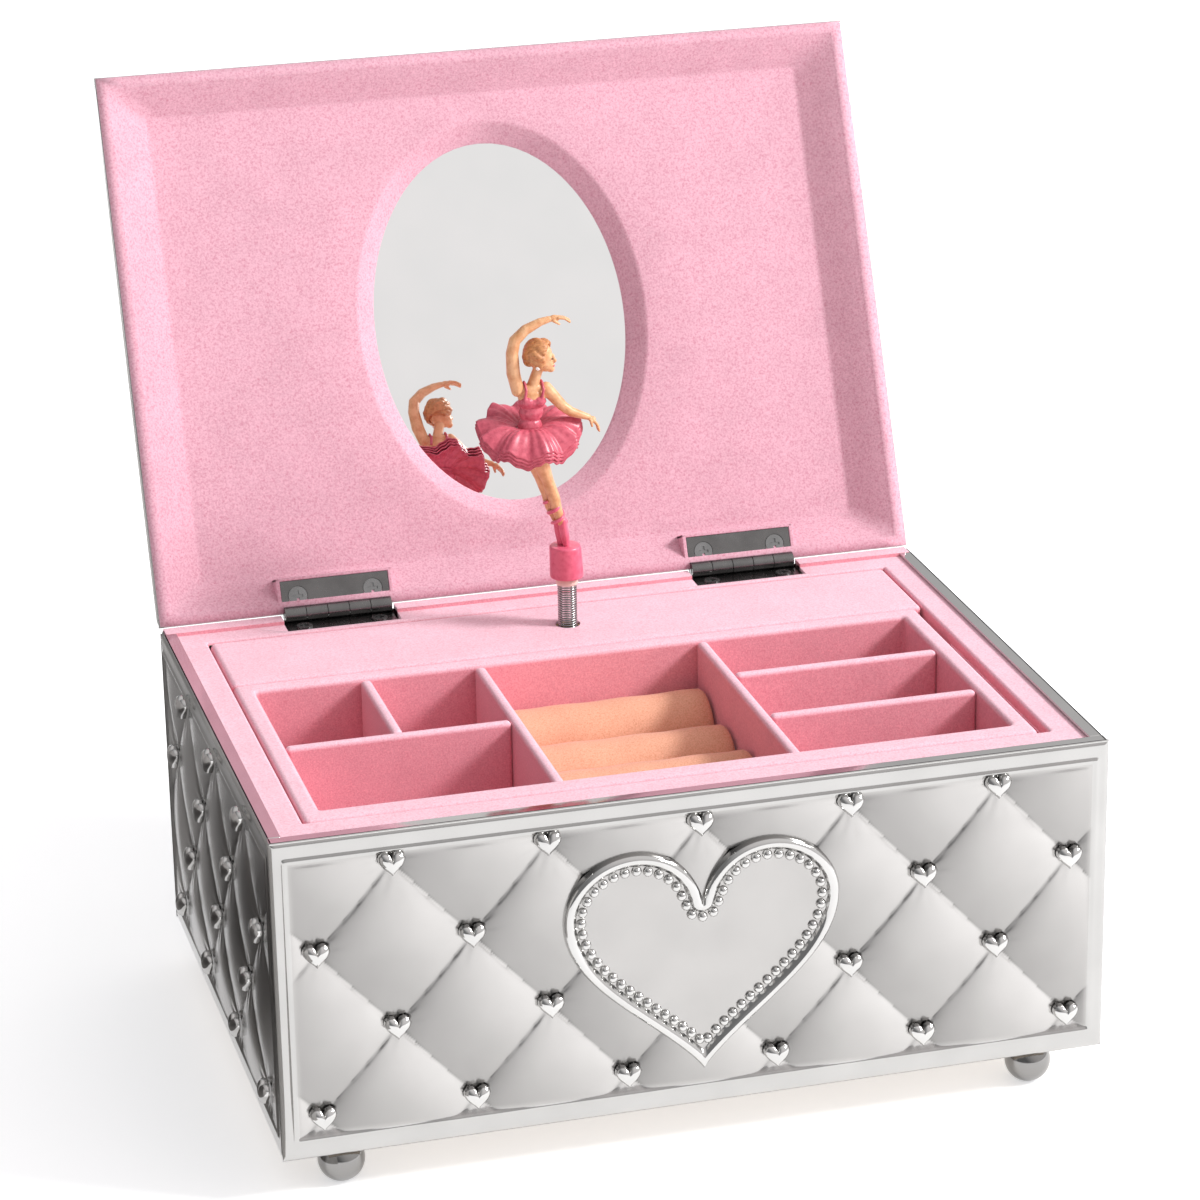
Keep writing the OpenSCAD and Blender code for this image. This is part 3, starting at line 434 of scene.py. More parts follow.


# The last value of velvet_pink is the painted shade on its upright faces.
velvet_pink = velvet("velvet_pink", (0.84, 0.54, 0.62), (0.78, 0.40, 0.48), 0.5, 0.45, (1, 0.66, 0.68))
# A darker, deeper copy of the pink velvet: painted shade on the lid's lining.
velvet_lid_painted_shade = velvet("velvet_lid_painted_shade", (0.70, 0.395, 0.475), (0.61, 0.25, 0.325), 0.5, 0.55)
velvet_peach = velvet("velvet_peach", (0.78, 0.41, 0.28), (0.68, 0.29, 0.17), 0.25)
silver_bright = silver("silver_bright", (0.57, 0.565, 0.555), 0.09, 0.03, 0.8, 0.02)
silver_frame = silver("silver_frame", (0.47, 0.465, 0.455), 0.12, 0.03, 0.8, 0.02)
# A darker copy of the silver for the ball feet: painted dark reflection.
silver_painted_dark = silver("silver_painted_dark", (0.27, 0.265, 0.26), 0.12, 0.03, 0.8, 0.02)
silver_satin = silver("silver_satin", (0.43, 0.42, 0.41), 0.22, 0.03, 1.2, 0.03)
steel_dark = metal("steel_dark", (0.185, 0.18, 0.178), 0.24)
steel_bright = metal("steel_bright", (0.29, 0.29, 0.29), 0.25)
spring_wire = metal("spring_wire", (0.42, 0.42, 0.41), 0.2, 0.3, 0.05)
brass = metal("brass", (0.80, 0.58, 0.25), 0.28)
zinc = metal("zinc", (0.55, 0.55, 0.54), 0.42)
board = fibreboard("fibreboard")
mirror_glass = mirror_material()
skin_paint = plastic("skin_paint", (0.79, 0.45, 0.24), (0.62, 0.28, 0.12), 0.4, 2.0)
hair_paint = plastic("hair_paint", (0.60, 0.27, 0.11), (0.38, 0.14, 0.05), 0.45, 0.8)
pink_paint = plastic("pink_paint", (0.80, 0.16, 0.25), (0.68, 0.10, 0.18), 0.3, 2.0)
cap_paint = plastic("cap_paint", (0.85, 0.62, 0.55), (0.75, 0.50, 0.44), 0.4)
fly_plastic = plastic("fly_plastic", (0.85, 0.85, 0.82), (0.75, 0.75, 0.72), 0.4)
tutu_paint = plastic("tutu_paint", (0.62, 0.115, 0.165), (0.46, 0.06, 0.10), 0.32, 1.2)
dark_paint = plastic("dark_paint", (0.08, 0.04, 0.03), (0.05, 0.03, 0.02), 0.3)
pearl_paint = plastic("pearl_paint", (0.92, 0.88, 0.84), (0.85, 0.80, 0.75), 0.2)


# ---------- Silver panels ----------

STUD_PITCH = 35.6
ROW_PITCH = 20.1
STUD_ROWS = [9.95, 30.1, 50.2, 70.2]
STUD_W, STUD_H, STUD_RISE = 6.2, 5.6, 2.4
STUD_SIDES = 28
STUD_SHAPE = [(1.0, 0.0), (1.0, 0.409), (0.9, 0.636), (0.7, 0.841), (0.4, 0.955), (0.08, 1.0)]
FRAME_SIDE = 3.1
FRAME_END = 4.7
FRAME_ROLL, FRAME_ROLL_W = 0.5, 0.9
BEAD_RISE, BEAD_W = 0.4, 0.45
PUFF = 1.6
EDGE_PUFF = 0.3
EDGE_W = 18
SEAM_DEPTH = 0.55
GROOVE, GROOVE_PAINTED_SHADE = 0.13, 0.25
GRID = 0.45


def smooth_step(x, low, high):
    t = np.clip((x - low) / (high - low), 0, 1)
    return t * t * (3 - 2 * t)


def quilt_height(x, z):
    """Height of the puffed quilting; x is from the panel's middle, z from its lowest stud row."""
    u = np.sin(math.pi * (x / STUD_PITCH + 0.5 + z / (2 * ROW_PITCH)))
    v = np.sin(math.pi * (x / STUD_PITCH + 0.5 - z / (2 * ROW_PITCH)))
    return np.abs(u * v) ** 0.5


def quilt_painted_shade(x, z):
    """Baked shading of each cell, fitted to a few cells of the photo; it stands in for a strong side
    light, so it does not follow the light from other angles."""
    across = np.mod(x / STUD_PITCH + 0.5 + z / (2 * ROW_PITCH), 1)
    along = np.mod(x / STUD_PITCH + 0.5 - z / (2 * ROW_PITCH), 1)
    fold = np.exp(-along / 0.16) * (1 - 0.55 * across)
    return 0.74 + 0.50 * across**1.6 + 0.03 * along - 0.36 * fold - 1


def stud_centres(half_w, height, clear=None):
    centres = []
    for row, z in enumerate(STUD_ROWS):
        if z > height:
            continue
        for i in range(-4, 5):
            x = (i + (0 if row % 2 else 0.5)) * STUD_PITCH
            hidden = clear is not None and math.hypot(x, z - clear[0]) < clear[1]
            if abs(x) < half_w - 4 and not hidden:
                centres.append((x, z))
    return centres


def pleats(x, z, centres):
    """Small gathers that run out from each stud."""
    total = np.zeros_like(x)
    for cx, cz in centres:
        dx, dz = x - cx, z - cz
        r = np.hypot(dx, dz)
        angle = np.arctan2(dz, dx)
        total += 0.07 * np.cos(12 * angle) * np.exp(-(((r - 5) / 2.6) ** 2)) - 0.2 * np.exp(-((r / 3.2) ** 2))
    return total


def quilted_sheet(name, half_w, height, centres, place):
    """The embossed face: a polished frame, a fine bead and the quilted field, as one closed skin."""
    xs = np.linspace(-half_w, half_w, int(2 * half_w / GRID) + 1)
    zs = np.linspace(0, height, int(height / GRID) + 1)
    x, z = np.meshgrid(xs, zs)
    row_z = z - STUD_ROWS[0]
    from_side, from_end = half_w - np.abs(x), np.minimum(z, height - z)
    inward = np.minimum(from_side - FRAME_SIDE, from_end - FRAME_END)
    field = smooth_step(inward, 0.3, 2.2)
    low_puff = SEAM_DEPTH + EDGE_PUFF
    puff = low_puff + (PUFF - low_puff) * smooth_step(inward, 0, EDGE_W)
    bead = BEAD_RISE * np.exp(-((inward / BEAD_W) ** 2))
    rolled = -FRAME_ROLL * smooth_step(np.minimum(from_side, from_end), FRAME_ROLL_W, 0.0)
    folds = quilt_height(x, row_z)
    relief = field * (puff * folds - SEAM_DEPTH + pleats(x, z, centres)) + bead + rolled
    rows, cols = x.shape
    rim = grid_rim(rows, cols)
    count = len(rim)
    skin = np.stack([x, relief, z], -1).reshape(-1, 3)
    back = skin[rim].copy()
    back[:, 1] = -SHEET
    start = len(skin)
    faces = grid_faces(rows, cols)
    faces += [(rim[(k + 1) % count], rim[k], start + k, start + (k + 1) % count) for k in range(count)]
    obj = mesh_object(name, place(np.concatenate([skin, back])), faces)
    obj.data.materials.append(silver_frame)
    obj.data.materials.append(silver_satin)
    # Painted shade: the seams' creases are darkened on top of the cells' painted shading, in the field only.
    groove = np.exp(-((folds / GROOVE) ** 2))
    tone = (quilt_painted_shade(x, row_z) - GROOVE_PAINTED_SHADE * groove) * field
    tone = np.concatenate([tone.reshape(-1), np.zeros(count)])
    obj.data.attributes.new(QUILT_PAINTED_SHADE, "FLOAT", "POINT").data.foreach_set("value", tone)
    face_inward = (inward[:-1, :-1] + inward[1:, 1:]) / 2
    kinds = np.zeros(len(faces), int)
    kinds[: (rows - 1) * (cols - 1)] = (face_inward > 0.8).astype(int).reshape(-1)
    obj.data.polygons.foreach_set("material_index", kinds.tolist())
    return obj


def heart_outline(angle, width, height):
    """Points of a heart's outline with its tip at the origin; angle 0 is the notch."""
    power = np.where(np.cos(angle) > 0, 3, 2.3)
    x = width / 2 * np.sign(np.sin(angle)) * np.abs(np.sin(angle)) ** power
    waves = 13 * np.cos(angle) - 5 * np.cos(2 * angle) - 2 * np.cos(3 * angle) - np.cos(4 * angle)
    z = height * (17 + waves) / 28.9
    return np.stack([x, z], -1)


def heart_studs(name, centres, place):
    """Small domed hearts, all in one object."""
    outline = heart_outline(np.linspace(0, 2 * math.pi, STUD_SIDES, endpoint=False), STUD_W, STUD_H)
    outline[:, 1] -= STUD_H * 0.52
    points, faces = [], []
    for cx, cz in centres:
        start = len(points) * STUD_SIDES
        for scale, share in STUD_SHAPE:
            out = np.full(STUD_SIDES, share * STUD_RISE)
            points.append(np.stack([outline[:, 0] * scale + cx, out, outline[:, 1] * scale + cz], -1))
        faces += grid_faces(len(STUD_SHAPE), STUD_SIDES, start, closed=True)
        top = start + (len(STUD_SHAPE) - 1) * STUD_SIDES
        faces.append(tuple(range(top, top + STUD_SIDES)))
    obj = mesh_object(name, place(np.concatenate(points)), faces)
    return paint(fix_normals(obj), silver_bright)


def panel(node, half_w, height, place, lip=None, clear=None):
    """A whole silver panel with its studs and turned-in lip, standing for its CAD node."""
    name = node + "_quilted"
    centres = stud_centres(half_w, height, clear)
    parts = [
        quilted_sheet(name, half_w, height, centres, place),
        heart_studs(name + "_studs", centres, place),
    ]
    if lip is not None:
        parts.append(paint(soft_box(name + "_lip", lip[0], lip[1], 0.22, 3), silver_bright))
    obj = join(name, parts)
    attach(obj, "case")
    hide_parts(node)


BODY_H = RIM_Z - BASE_Z
SIDE_LEN = REAR_Y - FRONT_Y - 2 * SHEET_AND_GAP
MID_Y = (FRONT_Y + REAR_Y) / 2
PLAQUE_CLEAR = (43, 22)


def on_front(p):
    return np.stack([p[..., 0], FRONT_Y - p[..., 1], BASE_Z + p[..., 2]], -1)


def on_rear(p):
    return np.stack([-p[..., 0], REAR_Y + p[..., 1], BASE_Z + p[..., 2]], -1)


def on_right(p):
    return np.stack([HALF_W + p[..., 1], MID_Y + p[..., 0], BASE_Z + p[..., 2]], -1)


def on_left(p):
    return np.stack([-HALF_W - p[..., 1], MID_Y - p[..., 0], BASE_Z + p[..., 2]], -1)


def lip_box(low, high):
    return (low[0], low[1], RIM_Z - SHEET), (high[0], high[1], RIM_Z)


front_lip = lip_box((-HALF_W + 0.2, FRONT_Y + 0.3), (HALF_W - 0.2, FRONT_Y + LIP_W))
panel("front_panel", HALF_W, BODY_H, on_front, front_lip, PLAQUE_CLEAR)
panel("rear_panel", HALF_W, BODY_H - REAR_FOLD, on_rear)
for side, node, place in ((-1, "left_panel", on_left), (1, "right_panel", on_right)):
    x_low, x_high = sorted((side * (HALF_W - 0.3), side * (HALF_W - LIP_W)))
    side_lip = lip_box((x_low, FRONT_Y + LIP_W + 0.1), (x_high, REAR_Y - LIP_W - 0.1))
    panel(node, SIDE_LEN / 2, BODY_H, place, side_lip)


def cut(obj, cutter):
    """Takes a closed object out of another."""
    modifier = obj.modifiers.new("cut", "BOOLEAN")
    modifier.operation = "DIFFERENCE"
    modifier.object = cutter
    modifier.solver = "EXACT"
    apply_modifiers(obj)
    bpy.data.objects.remove(cutter)


def cut_boxes(obj, boxes):
    for low, high in boxes:
        cut(obj, soft_box("cutter", low, high, 0.01, 1))
    return weighted(obj)


leaf_low, leaf_high = corners("hinge_box_leaves")
HINGE_W = 27.5
LEAF_L = 8.4
POCKET_W = 29.0
HINGE_X = leaf_high[0] - HINGE_W / 2
POCKET_Y = leaf_low[1] - 0.6
POCKET_Z = VELVET_Z - 1.8
pockets = [
    ((s * HINGE_X - POCKET_W / 2, POCKET_Y, POCKET_Z), (s * HINGE_X + POCKET_W / 2, REAR_Y + 5, RIM_Z + 5))
    for s in (-1, 1)
]


# ---------- Heart plaque ----------

PLAQUE_W, PLAQUE_H = 65.3, 55.6
PLAQUE_TIP = corners("heart_plaque")[0][2]


def distance_to(outline, points):
    """Distance of each point to a closed outline."""
    a = outline
    ab = np.roll(outline, -1, 0) - a
    best = np.full(len(points), 1e9)
    for k in range(len(a)):
        ap = points - a[k]
        t = np.clip((ap @ ab[k]) / (ab[k] @ ab[k]), 0, 1)
        best = np.minimum(best, np.hypot(ap[:, 0] - t * ab[k][0], ap[:, 1] - t * ab[k][1]))
    return best


def plaque_rings(depths, rays=240):
    """For every depth, the ring of points that lies that far inside the heart's outline."""
    outline = heart_outline(np.linspace(0, 2 * math.pi, 360, endpoint=False), PLAQUE_W, PLAQUE_H)
    centre = np.array([0.0, PLAQUE_H * 0.56])
    angles = np.linspace(0, 2 * math.pi, rays, endpoint=False) + math.pi / 2
    dirs = np.stack([np.cos(angles), np.sin(angles)], -1)
    polar = np.arctan2(outline[:, 1] - centre[1], outline[:, 0] - centre[0])
    order = np.argsort(polar)
    radii = np.hypot(outline[:, 0] - centre[0], outline[:, 1] - centre[1])
    reach = np.interp(np.arctan2(dirs[:, 1], dirs[:, 0]), polar[order], radii[order], period=2 * math.pi)
    rings = []
    for depth in depths:
        low, high = np.zeros(rays), reach.copy()
        for _ in range(16):
            mid = (low + high) / 2
            inside = distance_to(outline, centre + dirs * mid[:, None]) > depth
            low = np.where(inside, mid, low)
            high = np.where(inside, high, mid)
        rings.append(centre + dirs * low[:, None])
    return rings


def spaced(ring, step):
    """Points along a closed ring at an even spacing near step."""
    closed = np.concatenate([ring, ring[:1]])
    along = np.concatenate([[0], np.cumsum(np.hypot(*np.diff(closed, axis=0).T))])
    count = int(round(along[-1] / step))
    targets = np.linspace(0, along[-1], count, endpoint=False)
    return np.stack([np.interp(targets, along, closed[:, 0]), np.interp(targets, along, closed[:, 1])], -1)


# The plaque's moulded rim: distance inside its outline, and distance out from the case
PLAQUE_RIM = [(0.0, 0.2), (0.05, 1.5), (0.35, 2.15), (0.9, 2.55), (1.5, 2.6), (2.1, 2.35)]
PLAQUE_RIM += [(2.55, 1.9), (2.75, 1.4), (3.0, 1.25)]
BEAD_INSET, BEAD_PITCH = 4.15, 2.75
BEAD_R, BEAD_BASE = 1.25, 1.2


def plaque_bead(x, z):
    """A half ball standing out from the plaque's plate."""
    turn = np.linspace(0, 2 * math.pi, 12, endpoint=False)
    rings = []
    for k in range(6):
        a = math.pi / 2 * k / 5.2
        r = BEAD_R * math.cos(a)
        y = np.full(12, FRONT_Y - BEAD_BASE - BEAD_R * math.sin(a))
        rings.append(np.stack([x + r * np.cos(turn), y, z + r * np.sin(turn)], -1))
    return paint(fix_normals(rings_object("bead", rings, cap_last=True)), silver_bright)


def heart_plaque():
    placed = []
    for ring, (_, out) in zip(plaque_rings([depth for depth, _ in PLAQUE_RIM]), PLAQUE_RIM):
        placed.append(np.stack([ring[:, 0], np.full(len(ring), FRONT_Y - out), PLAQUE_TIP + ring[:, 1]], -1))
    plate = paint(fix_normals(rings_object("plaque_plate", placed, cap_last=True)), silver_bright)
    plate.data.materials.append(silver_satin)
    face = max(plate.data.polygons, key=lambda polygon: polygon.area)
    face.material_index = 1
    face.use_smooth = False
    weighted(plate)
    bead_places = spaced(plaque_rings([BEAD_INSET])[0], BEAD_PITCH)
    beads = [plaque_bead(x, PLAQUE_TIP + z) for x, z in bead_places]
    obj = join("heart_plaque_beaded", [plate, *beads])
    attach(obj, "case")
    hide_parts("heart_plaque")


heart_plaque()


# ---------- Ball feet ----------


def ball_feet():
    low, high = corners("ball_feet")
    radius = 5.5
    middle = (low[2] + high[2]) / 2
    heights = np.linspace(low[2], high[2], 29)
    feet = []
    for x in (low[0] + radius, high[0] - radius):
        for y in (low[1] + radius, high[1] - radius):
            rings = [circle(x, y, z, math.sqrt(max(radius**2 - (z - middle) ** 2, 0.8)), 48) for z in heights]
            # The feet take the darker silver, a painted dark reflection.
            feet.append(paint(fix_normals(rings_object("foot", rings, True, True)), silver_painted_dark))
    obj = join("polished_ball_feet", feet)
    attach(obj, "case")
    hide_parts("ball_feet")


ball_feet()


# ---------- Velvet inside the box ----------


def velvet_piece(obj, body, *nodes, slot="velvet", material=None):
    paint(obj, material or velvet_pink)
    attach(obj, body)
    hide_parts(*nodes)
    return obj


def velvet_ledge():
    low, high = corners("velvet_ledge")
    opening_x = -corners("deck")[0][0] + 0.4
    opening_y0 = corners("tray_walls")[0][1] - 0.4
    opening_y1 = corners("deck")[1][1] + 0.4
    obj = wall_ring(
        "velvet_rim",
        (low + 0.02, high - 0.02),
        ((-opening_x, opening_y0, 0), (opening_x, opening_y1, 0)),
        VELVET_Z - 6,
        VELVET_Z - 0.02,
        0.9,
        0.6,
    )
    cut_boxes(obj, pockets)
    rear_strip = soft_box(
        "rear_strip",
        (-HALF_W + 0.9, REAR_Y - LIP_W - 0.3, VELVET_Z - 2),
        (HALF_W - 0.9, REAR_Y + 0.3, RIM_Z + 0.1),
        0.06,
        2,
    )
    cut_boxes(rear_strip, pockets)
    velvet_piece(join("velvet_rim", [obj, rear_strip]), "case", "velvet_ledge")


velvet_ledge()


def deck_pad():
    low, high = corners("deck")
    obj = soft_box("deck_pad", low, high, 1.4, 5)
    rings = [circle(SPINDLE[0], SPINDLE[1], z, 3.12, 40) for z in (low[2] - 5, high[2] + 5)]
    cut(obj, fix_normals(rings_object("hole", rings, True, True)))
    weighted(obj)
    velvet_piece(obj, "case", "deck")


deck_pad()

for lined in ("deck_riser", "movement_partition", "movement_cover", "floor_pad"):
    low, high = corners(lined)
    velvet_piece(soft_box(lined + "_velvet", low, high, 0.5, 3), "case", lined)


def lining_and_rails():
    low, high = corners("interior_lining")
    thick = 0.6
    walls = [
        ((low[0], low[1], low[2]), (low[0] + thick, high[1], high[2])),
        ((high[0] - thick, low[1], low[2]), (high[0], high[1], high[2])),
        ((low[0] + thick, low[1], low[2]), (high[0] - thick, low[1] + 0.4, high[2])),
    ]
    parts = [soft_box("lining_part", a, b, 0.15, 2) for a, b in walls]
    velvet_piece(join("interior_velvet", parts), "case", "interior_lining")
    low, high = corners("tray_rails")
    rails = [
        ((low[0], low[1], low[2]), (low[0] + 6, high[1], high[2])),
        ((high[0] - 6, low[1], low[2]), (high[0], high[1], high[2])),
    ]
    parts = [soft_box("rail_part", a, b, 0.8, 3) for a, b in rails]
    velvet_piece(join("rails_velvet", parts), "case", "tray_rails")


lining_and_rails()


# ---------- Tray ----------

tray_low, tray_high = corners("tray_walls")
floor_low, floor_high = corners("tray_floor")
DIVIDER_T = 2.8
DIVIDER_XS = (-27.8, 28.6)
LEFT_CROSS_Y = 57 - 100.095
LEFT_SMALL_X = -56.2
RIGHT_CROSS_YS = (42 - 100.095, 69.7 - 100.095)


def tray():
    z0, z1 = tray_low[2], tray_high[2]
    rim = wall_ring("tray_rim", (tray_low, tray_high), (floor_low, floor_high), z0, z1, 1.3, 1.6)
    velvet_piece(rim, "tray", "tray_walls")
    velvet_piece(soft_box("tray_bottom", floor_low, floor_high, 0.4, 2), "tray", "tray_floor")
    z0, z1 = floor_high[2] + 0.05, tray_high[2] - 0.4
    half = DIVIDER_T / 2
    y0, y1 = floor_low[1], floor_high[1]
    boxes = [((x - half, y0, z0), (x + half, y1, z1)) for x in DIVIDER_XS]
    boxes.append(((floor_low[0], LEFT_CROSS_Y - half, z0), (DIVIDER_XS[0] - half, LEFT_CROSS_Y + half, z1)))
    boxes.append(((LEFT_SMALL_X - half, LEFT_CROSS_Y + half, z0), (LEFT_SMALL_X + half, y1, z1)))
    for y in RIGHT_CROSS_YS:
        boxes.append(((DIVIDER_XS[1] + half, y - half, z0), (floor_high[0], y + half, z1)))
    parts = [soft_box("divider_part", a, b, 1.15, 4) for a, b in boxes]
    velvet_piece(join("tray_divider_set", parts), "tray", "tray_dividers")


tray()


ROLL_R = 9.25
ROLL_SIDES = 56
ROLL_DROPS = [12, 11.8, 12.6, 10.4]


def ring_roll(name, centre_y, centre_z, x0, x1, seed):
    """A padded roll: round, lightly rippled, with puckered ends."""
    phases = np.random.default_rng(seed).uniform(0, 2 * math.pi, 6)
    turn = np.linspace(0, 2 * math.pi, ROLL_SIDES, endpoint=False)
    stations = [(0, 0.55), (0.004, 0.8), (0.014, 0.95)] + [(t, 1) for t in np.linspace(0.03, 0.97, 30)]
    stations += [(0.986, 0.95), (0.996, 0.8), (1, 0.55)]
    rings = []
    for t, scale in stations:
        ripple = 0.012 * np.sin(7 * t * math.pi + phases[0] + np.sin(turn + phases[1]))
        ripple += 0.006 * np.sin(3 * turn + phases[2] + 5 * t)
        r = ROLL_R * scale * (1 + ripple - 0.012)
        x = np.full(ROLL_SIDES, x0 + (x1 - x0) * t)
        rings.append(np.stack([x, centre_y + r * np.cos(turn), centre_z + r * np.sin(turn)], -1))
    return fix_normals(rings_object(name, rings, True, True))


def ring_rolls():
    low, high = corners("ring_rolls")
    pitch = (floor_high[1] - floor_low[1]) / len(ROLL_DROPS)
    for k, drop in enumerate(ROLL_DROPS):
        y = floor_low[1] + (k + 0.5) * pitch
        z = tray_high[2] - drop - 8.5
        roll = paint(ring_roll(f"ring_roll_{k + 1}", y, z, low[0], high[0], k), velvet_peach)
        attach(roll, "tray")
        if k == 0:
            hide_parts("ring_rolls")


ring_rolls()


# ---------- Lid ----------

MIRROR = np.array([0, 69.3 - 100.095])
MIRROR_RX, MIRROR_RY = 33.0, 46.4
OVAL_BEVEL = 5.0
RECESS_D = 6.0
RECESS_EDGE, BEVEL_SIDE, BEVEL_END = 3.0, 10.0, 7.5


def lid_rect(inset_x, inset_y, z, per_side=40):
    """A sharp rectangle inside the lid's outline, with the same points for every size."""
    x0, y0, x1, y1 = -HALF_W + inset_x, FRONT_Y + inset_y, HALF_W - inset_x, REAR_Y - inset_y
    knots = [(x0, y0), (x1, y0), (x1, y1), (x0, y1), (x0, y0)]
    points = []
    for a, b in zip(knots[:-1], knots[1:]):
        for k in range(per_side):
            t = k / per_side
            points.append((a[0] + (b[0] - a[0]) * t, a[1] + (b[1] - a[1]) * t, LID_Z + z))
    return np.array(points)


def oval_ring(grow, depth, like):
    """An oval ring whose points sit in the same directions as those of another ring."""
    rx, ry = MIRROR_RX + grow, MIRROR_RY + grow
    angle = np.arctan2((like[:, 1] - MIRROR[1]) / ry, (like[:, 0] - MIRROR[0]) / rx)
    x, y = MIRROR[0] + rx * np.cos(angle), MIRROR[1] + ry * np.sin(angle)
    return np.stack([x, y, np.full(len(like), LID_Z + depth)], -1)


# Steps down the recess's sloping side: share of its width, and depth
RECESS_SLOPE = [(0.02, 0.05), (0.06, 0.22), (0.5, 3.0), (0.92, 5.65), (0.97, 5.9), (1.04, RECESS_D)]
# Steps down the oval's sloping side: distance outside the mirror's edge, and depth
OVAL_SLOPE = [(5.5, 6.0), (4.9, 6.15), (4.4, 6.5), (2.6, 7.9), (0.7, 9.3), (0.2, 9.75), (0.0, 9.98)]


def lining_rings():
    """Rings of the closed lid's lining, from its outer edge to the mirror."""
    skin, proud, edge = 0.25, -0.12, RECESS_EDGE
    rings = [lid_rect(skin, skin, 0.2), lid_rect(skin, skin, proud), lid_rect(edge, edge, proud)]
    rings += [lid_rect(edge + BEVEL_SIDE * t, edge + BEVEL_END * t, depth) for t, depth in RECESS_SLOPE]
    inner = rings[-1]
    oval_out = oval_ring(OVAL_BEVEL + 0.5, RECESS_D, inner)
    for t in (0.25, 0.5, 0.75):
        mixed = inner * (1 - t) + oval_out * t
        mixed[:, 2] = LID_Z + RECESS_D
        rings.append(mixed)
    return rings + [oval_ring(grow, depth, inner) for grow, depth in OVAL_SLOPE]


def hinge_seats():
    """Velvet lips round each hinge leaf on the open lid."""
    seats = []
    for side in (-1, 1):
        x0, x1 = side * HINGE_X - HINGE_W / 2, side * HINGE_X + HINGE_W / 2
        y0, y1 = PIVOT[1] - LEAF_L, REAR_Y - 0.6
        z0, z1 = LID_Z - 0.1, LID_Z + RECESS_D
        for low, high in (
            ((x0 - 1.1, y0 - 0.9, z0), (x0 - 0.1, y1, z1)),
            ((x1 + 0.1, y0 - 0.9, z0), (x1 + 1.1, y1, z1)),
            ((x0 - 1.1, y0 - 1.0, z0), (x1 + 1.1, y0 - 0.1, z1)),
        ):
            seat = soft_box("seat", low, high, 0.2, 2)
            points = np.array([v.co for v in seat.data.vertices]) / MM
            seat.data.vertices.foreach_set("co", (opened(points) * MM).reshape(-1))
            seats.append(seat)
    return seats


def lid_lining():
    obj = fix_normals(rings_object("lid_velvet", [opened(ring) for ring in lining_rings()]))
    if any(polygon.normal.y > 0 for polygon in obj.data.polygons):
        obj.data.flip_normals()
    velvet_piece(join("lid_velvet", [obj, *hinge_seats()]), "lid", "lid_lining", material=velvet_lid_painted_shade)


lid_lining()


# The shell's side from its rim to its top: inset at the sides, inset at the ends, and height
SHELL_SIDE = [(0.9, 0.9, 0.5), (0.9, 0.9, 0.0), (0.25, 0.25, 0.0), (0.06, 0.06, 0.08), (0.0, 0.0, 0.3)]
SHELL_SIDE += [(0.0, 0.0, 3.7), (0.15, 0.12, 4.0), (0.6, 0.5, 4.35)]
SHELL_SIDE += [(12.4, 10.0, 12.45), (12.9, 10.4, 12.7), (13.6, 11.1, 12.8)]
TOP_INSET_SIDE, TOP_INSET_END = 13.4, 10.9
TOP_Z, TOP_PUFF = 12.9, 0.7


def on_lid_top(p):
    y, z = FRONT_Y + TOP_INSET_END + p[..., 2], LID_Z + TOP_Z + p[..., 1] * TOP_PUFF
    return opened(np.stack([p[..., 0], y, z], -1))


def lid_shell():
    rings = [opened(lid_rect(a, b, z)) for a, b, z in SHELL_SIDE]
    sides = paint(weighted(fix_normals(rings_object("shell_sides", rings))), silver_bright)
    half_w = HALF_W - TOP_INSET_SIDE
    length = REAR_Y - FRONT_Y - 2 * TOP_INSET_END
    centres = []
    for i in range(-2, 3):
        for row in range(6):
            x = (i + (0 if row % 2 else 0.5)) * STUD_PITCH
            z = STUD_ROWS[0] + row * ROW_PITCH
            if abs(x) < half_w - 5 and z < length - 6:
                centres.append((x, z))
    sheet = quilted_sheet("shell_top", half_w, length, centres, on_lid_top)
    studs = heart_studs("shell_studs", centres, on_lid_top)
    obj = join("lid_shell_quilted", [sides, sheet, studs])
    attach(obj, "lid")
    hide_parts("lid_shell")


lid_shell()


# ---------- Spring ----------


def tube(name, path, radius, sides=8):
    """A round wire along a path of points."""
    path = np.asarray(path, float)
    tangent = np.gradient(path, axis=0)
    tangent /= np.linalg.norm(tangent, axis=1)[:, None]
    up = np.array([0, 0, 1.0])
    side = np.cross(tangent, up)
    side /= np.linalg.norm(side, axis=1)[:, None] + 1e-9
    normal = np.cross(side, tangent)
    turn = np.linspace(0, 2 * math.pi, sides, endpoint=False)
    rings = []
    for point, across, out in zip(path, side, normal):
        rings.append(point + radius * (np.outer(np.cos(turn), across) + np.outer(np.sin(turn), out)))
    return fix_normals(rings_object(name, rings, True, True))


def coil_spring():
    low, high = corners("coil_spring")
    wire = 0.22
    pitch = 0.62
    z0, z1 = low[2] + wire, high[2] + 0.05
    turns = (z1 - z0) / pitch
    steps = int(turns * 28)
    t = np.linspace(0, 1, steps)
    angle = 2 * math.pi * turns * t
    radius = 2.45 - wire
    x, y = SPINDLE[0] + radius * np.cos(angle), SPINDLE[1] + radius * np.sin(angle)
    path = np.stack([x, y, z0 + (z1 - z0) * t], -1)
    obj = paint(tube("dancer_spring", path, wire), spring_wire)
    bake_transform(obj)
    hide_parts("coil_spring")


coil_spring()


# ---------- Dancer ----------


def dancer_point(x, y, h):
    """A place on the dancer: x and y from the spindle's axis, h above the deck."""
    return np.array([SPINDLE[0] + x, SPINDLE[1] + y, VELVET_Z + h])


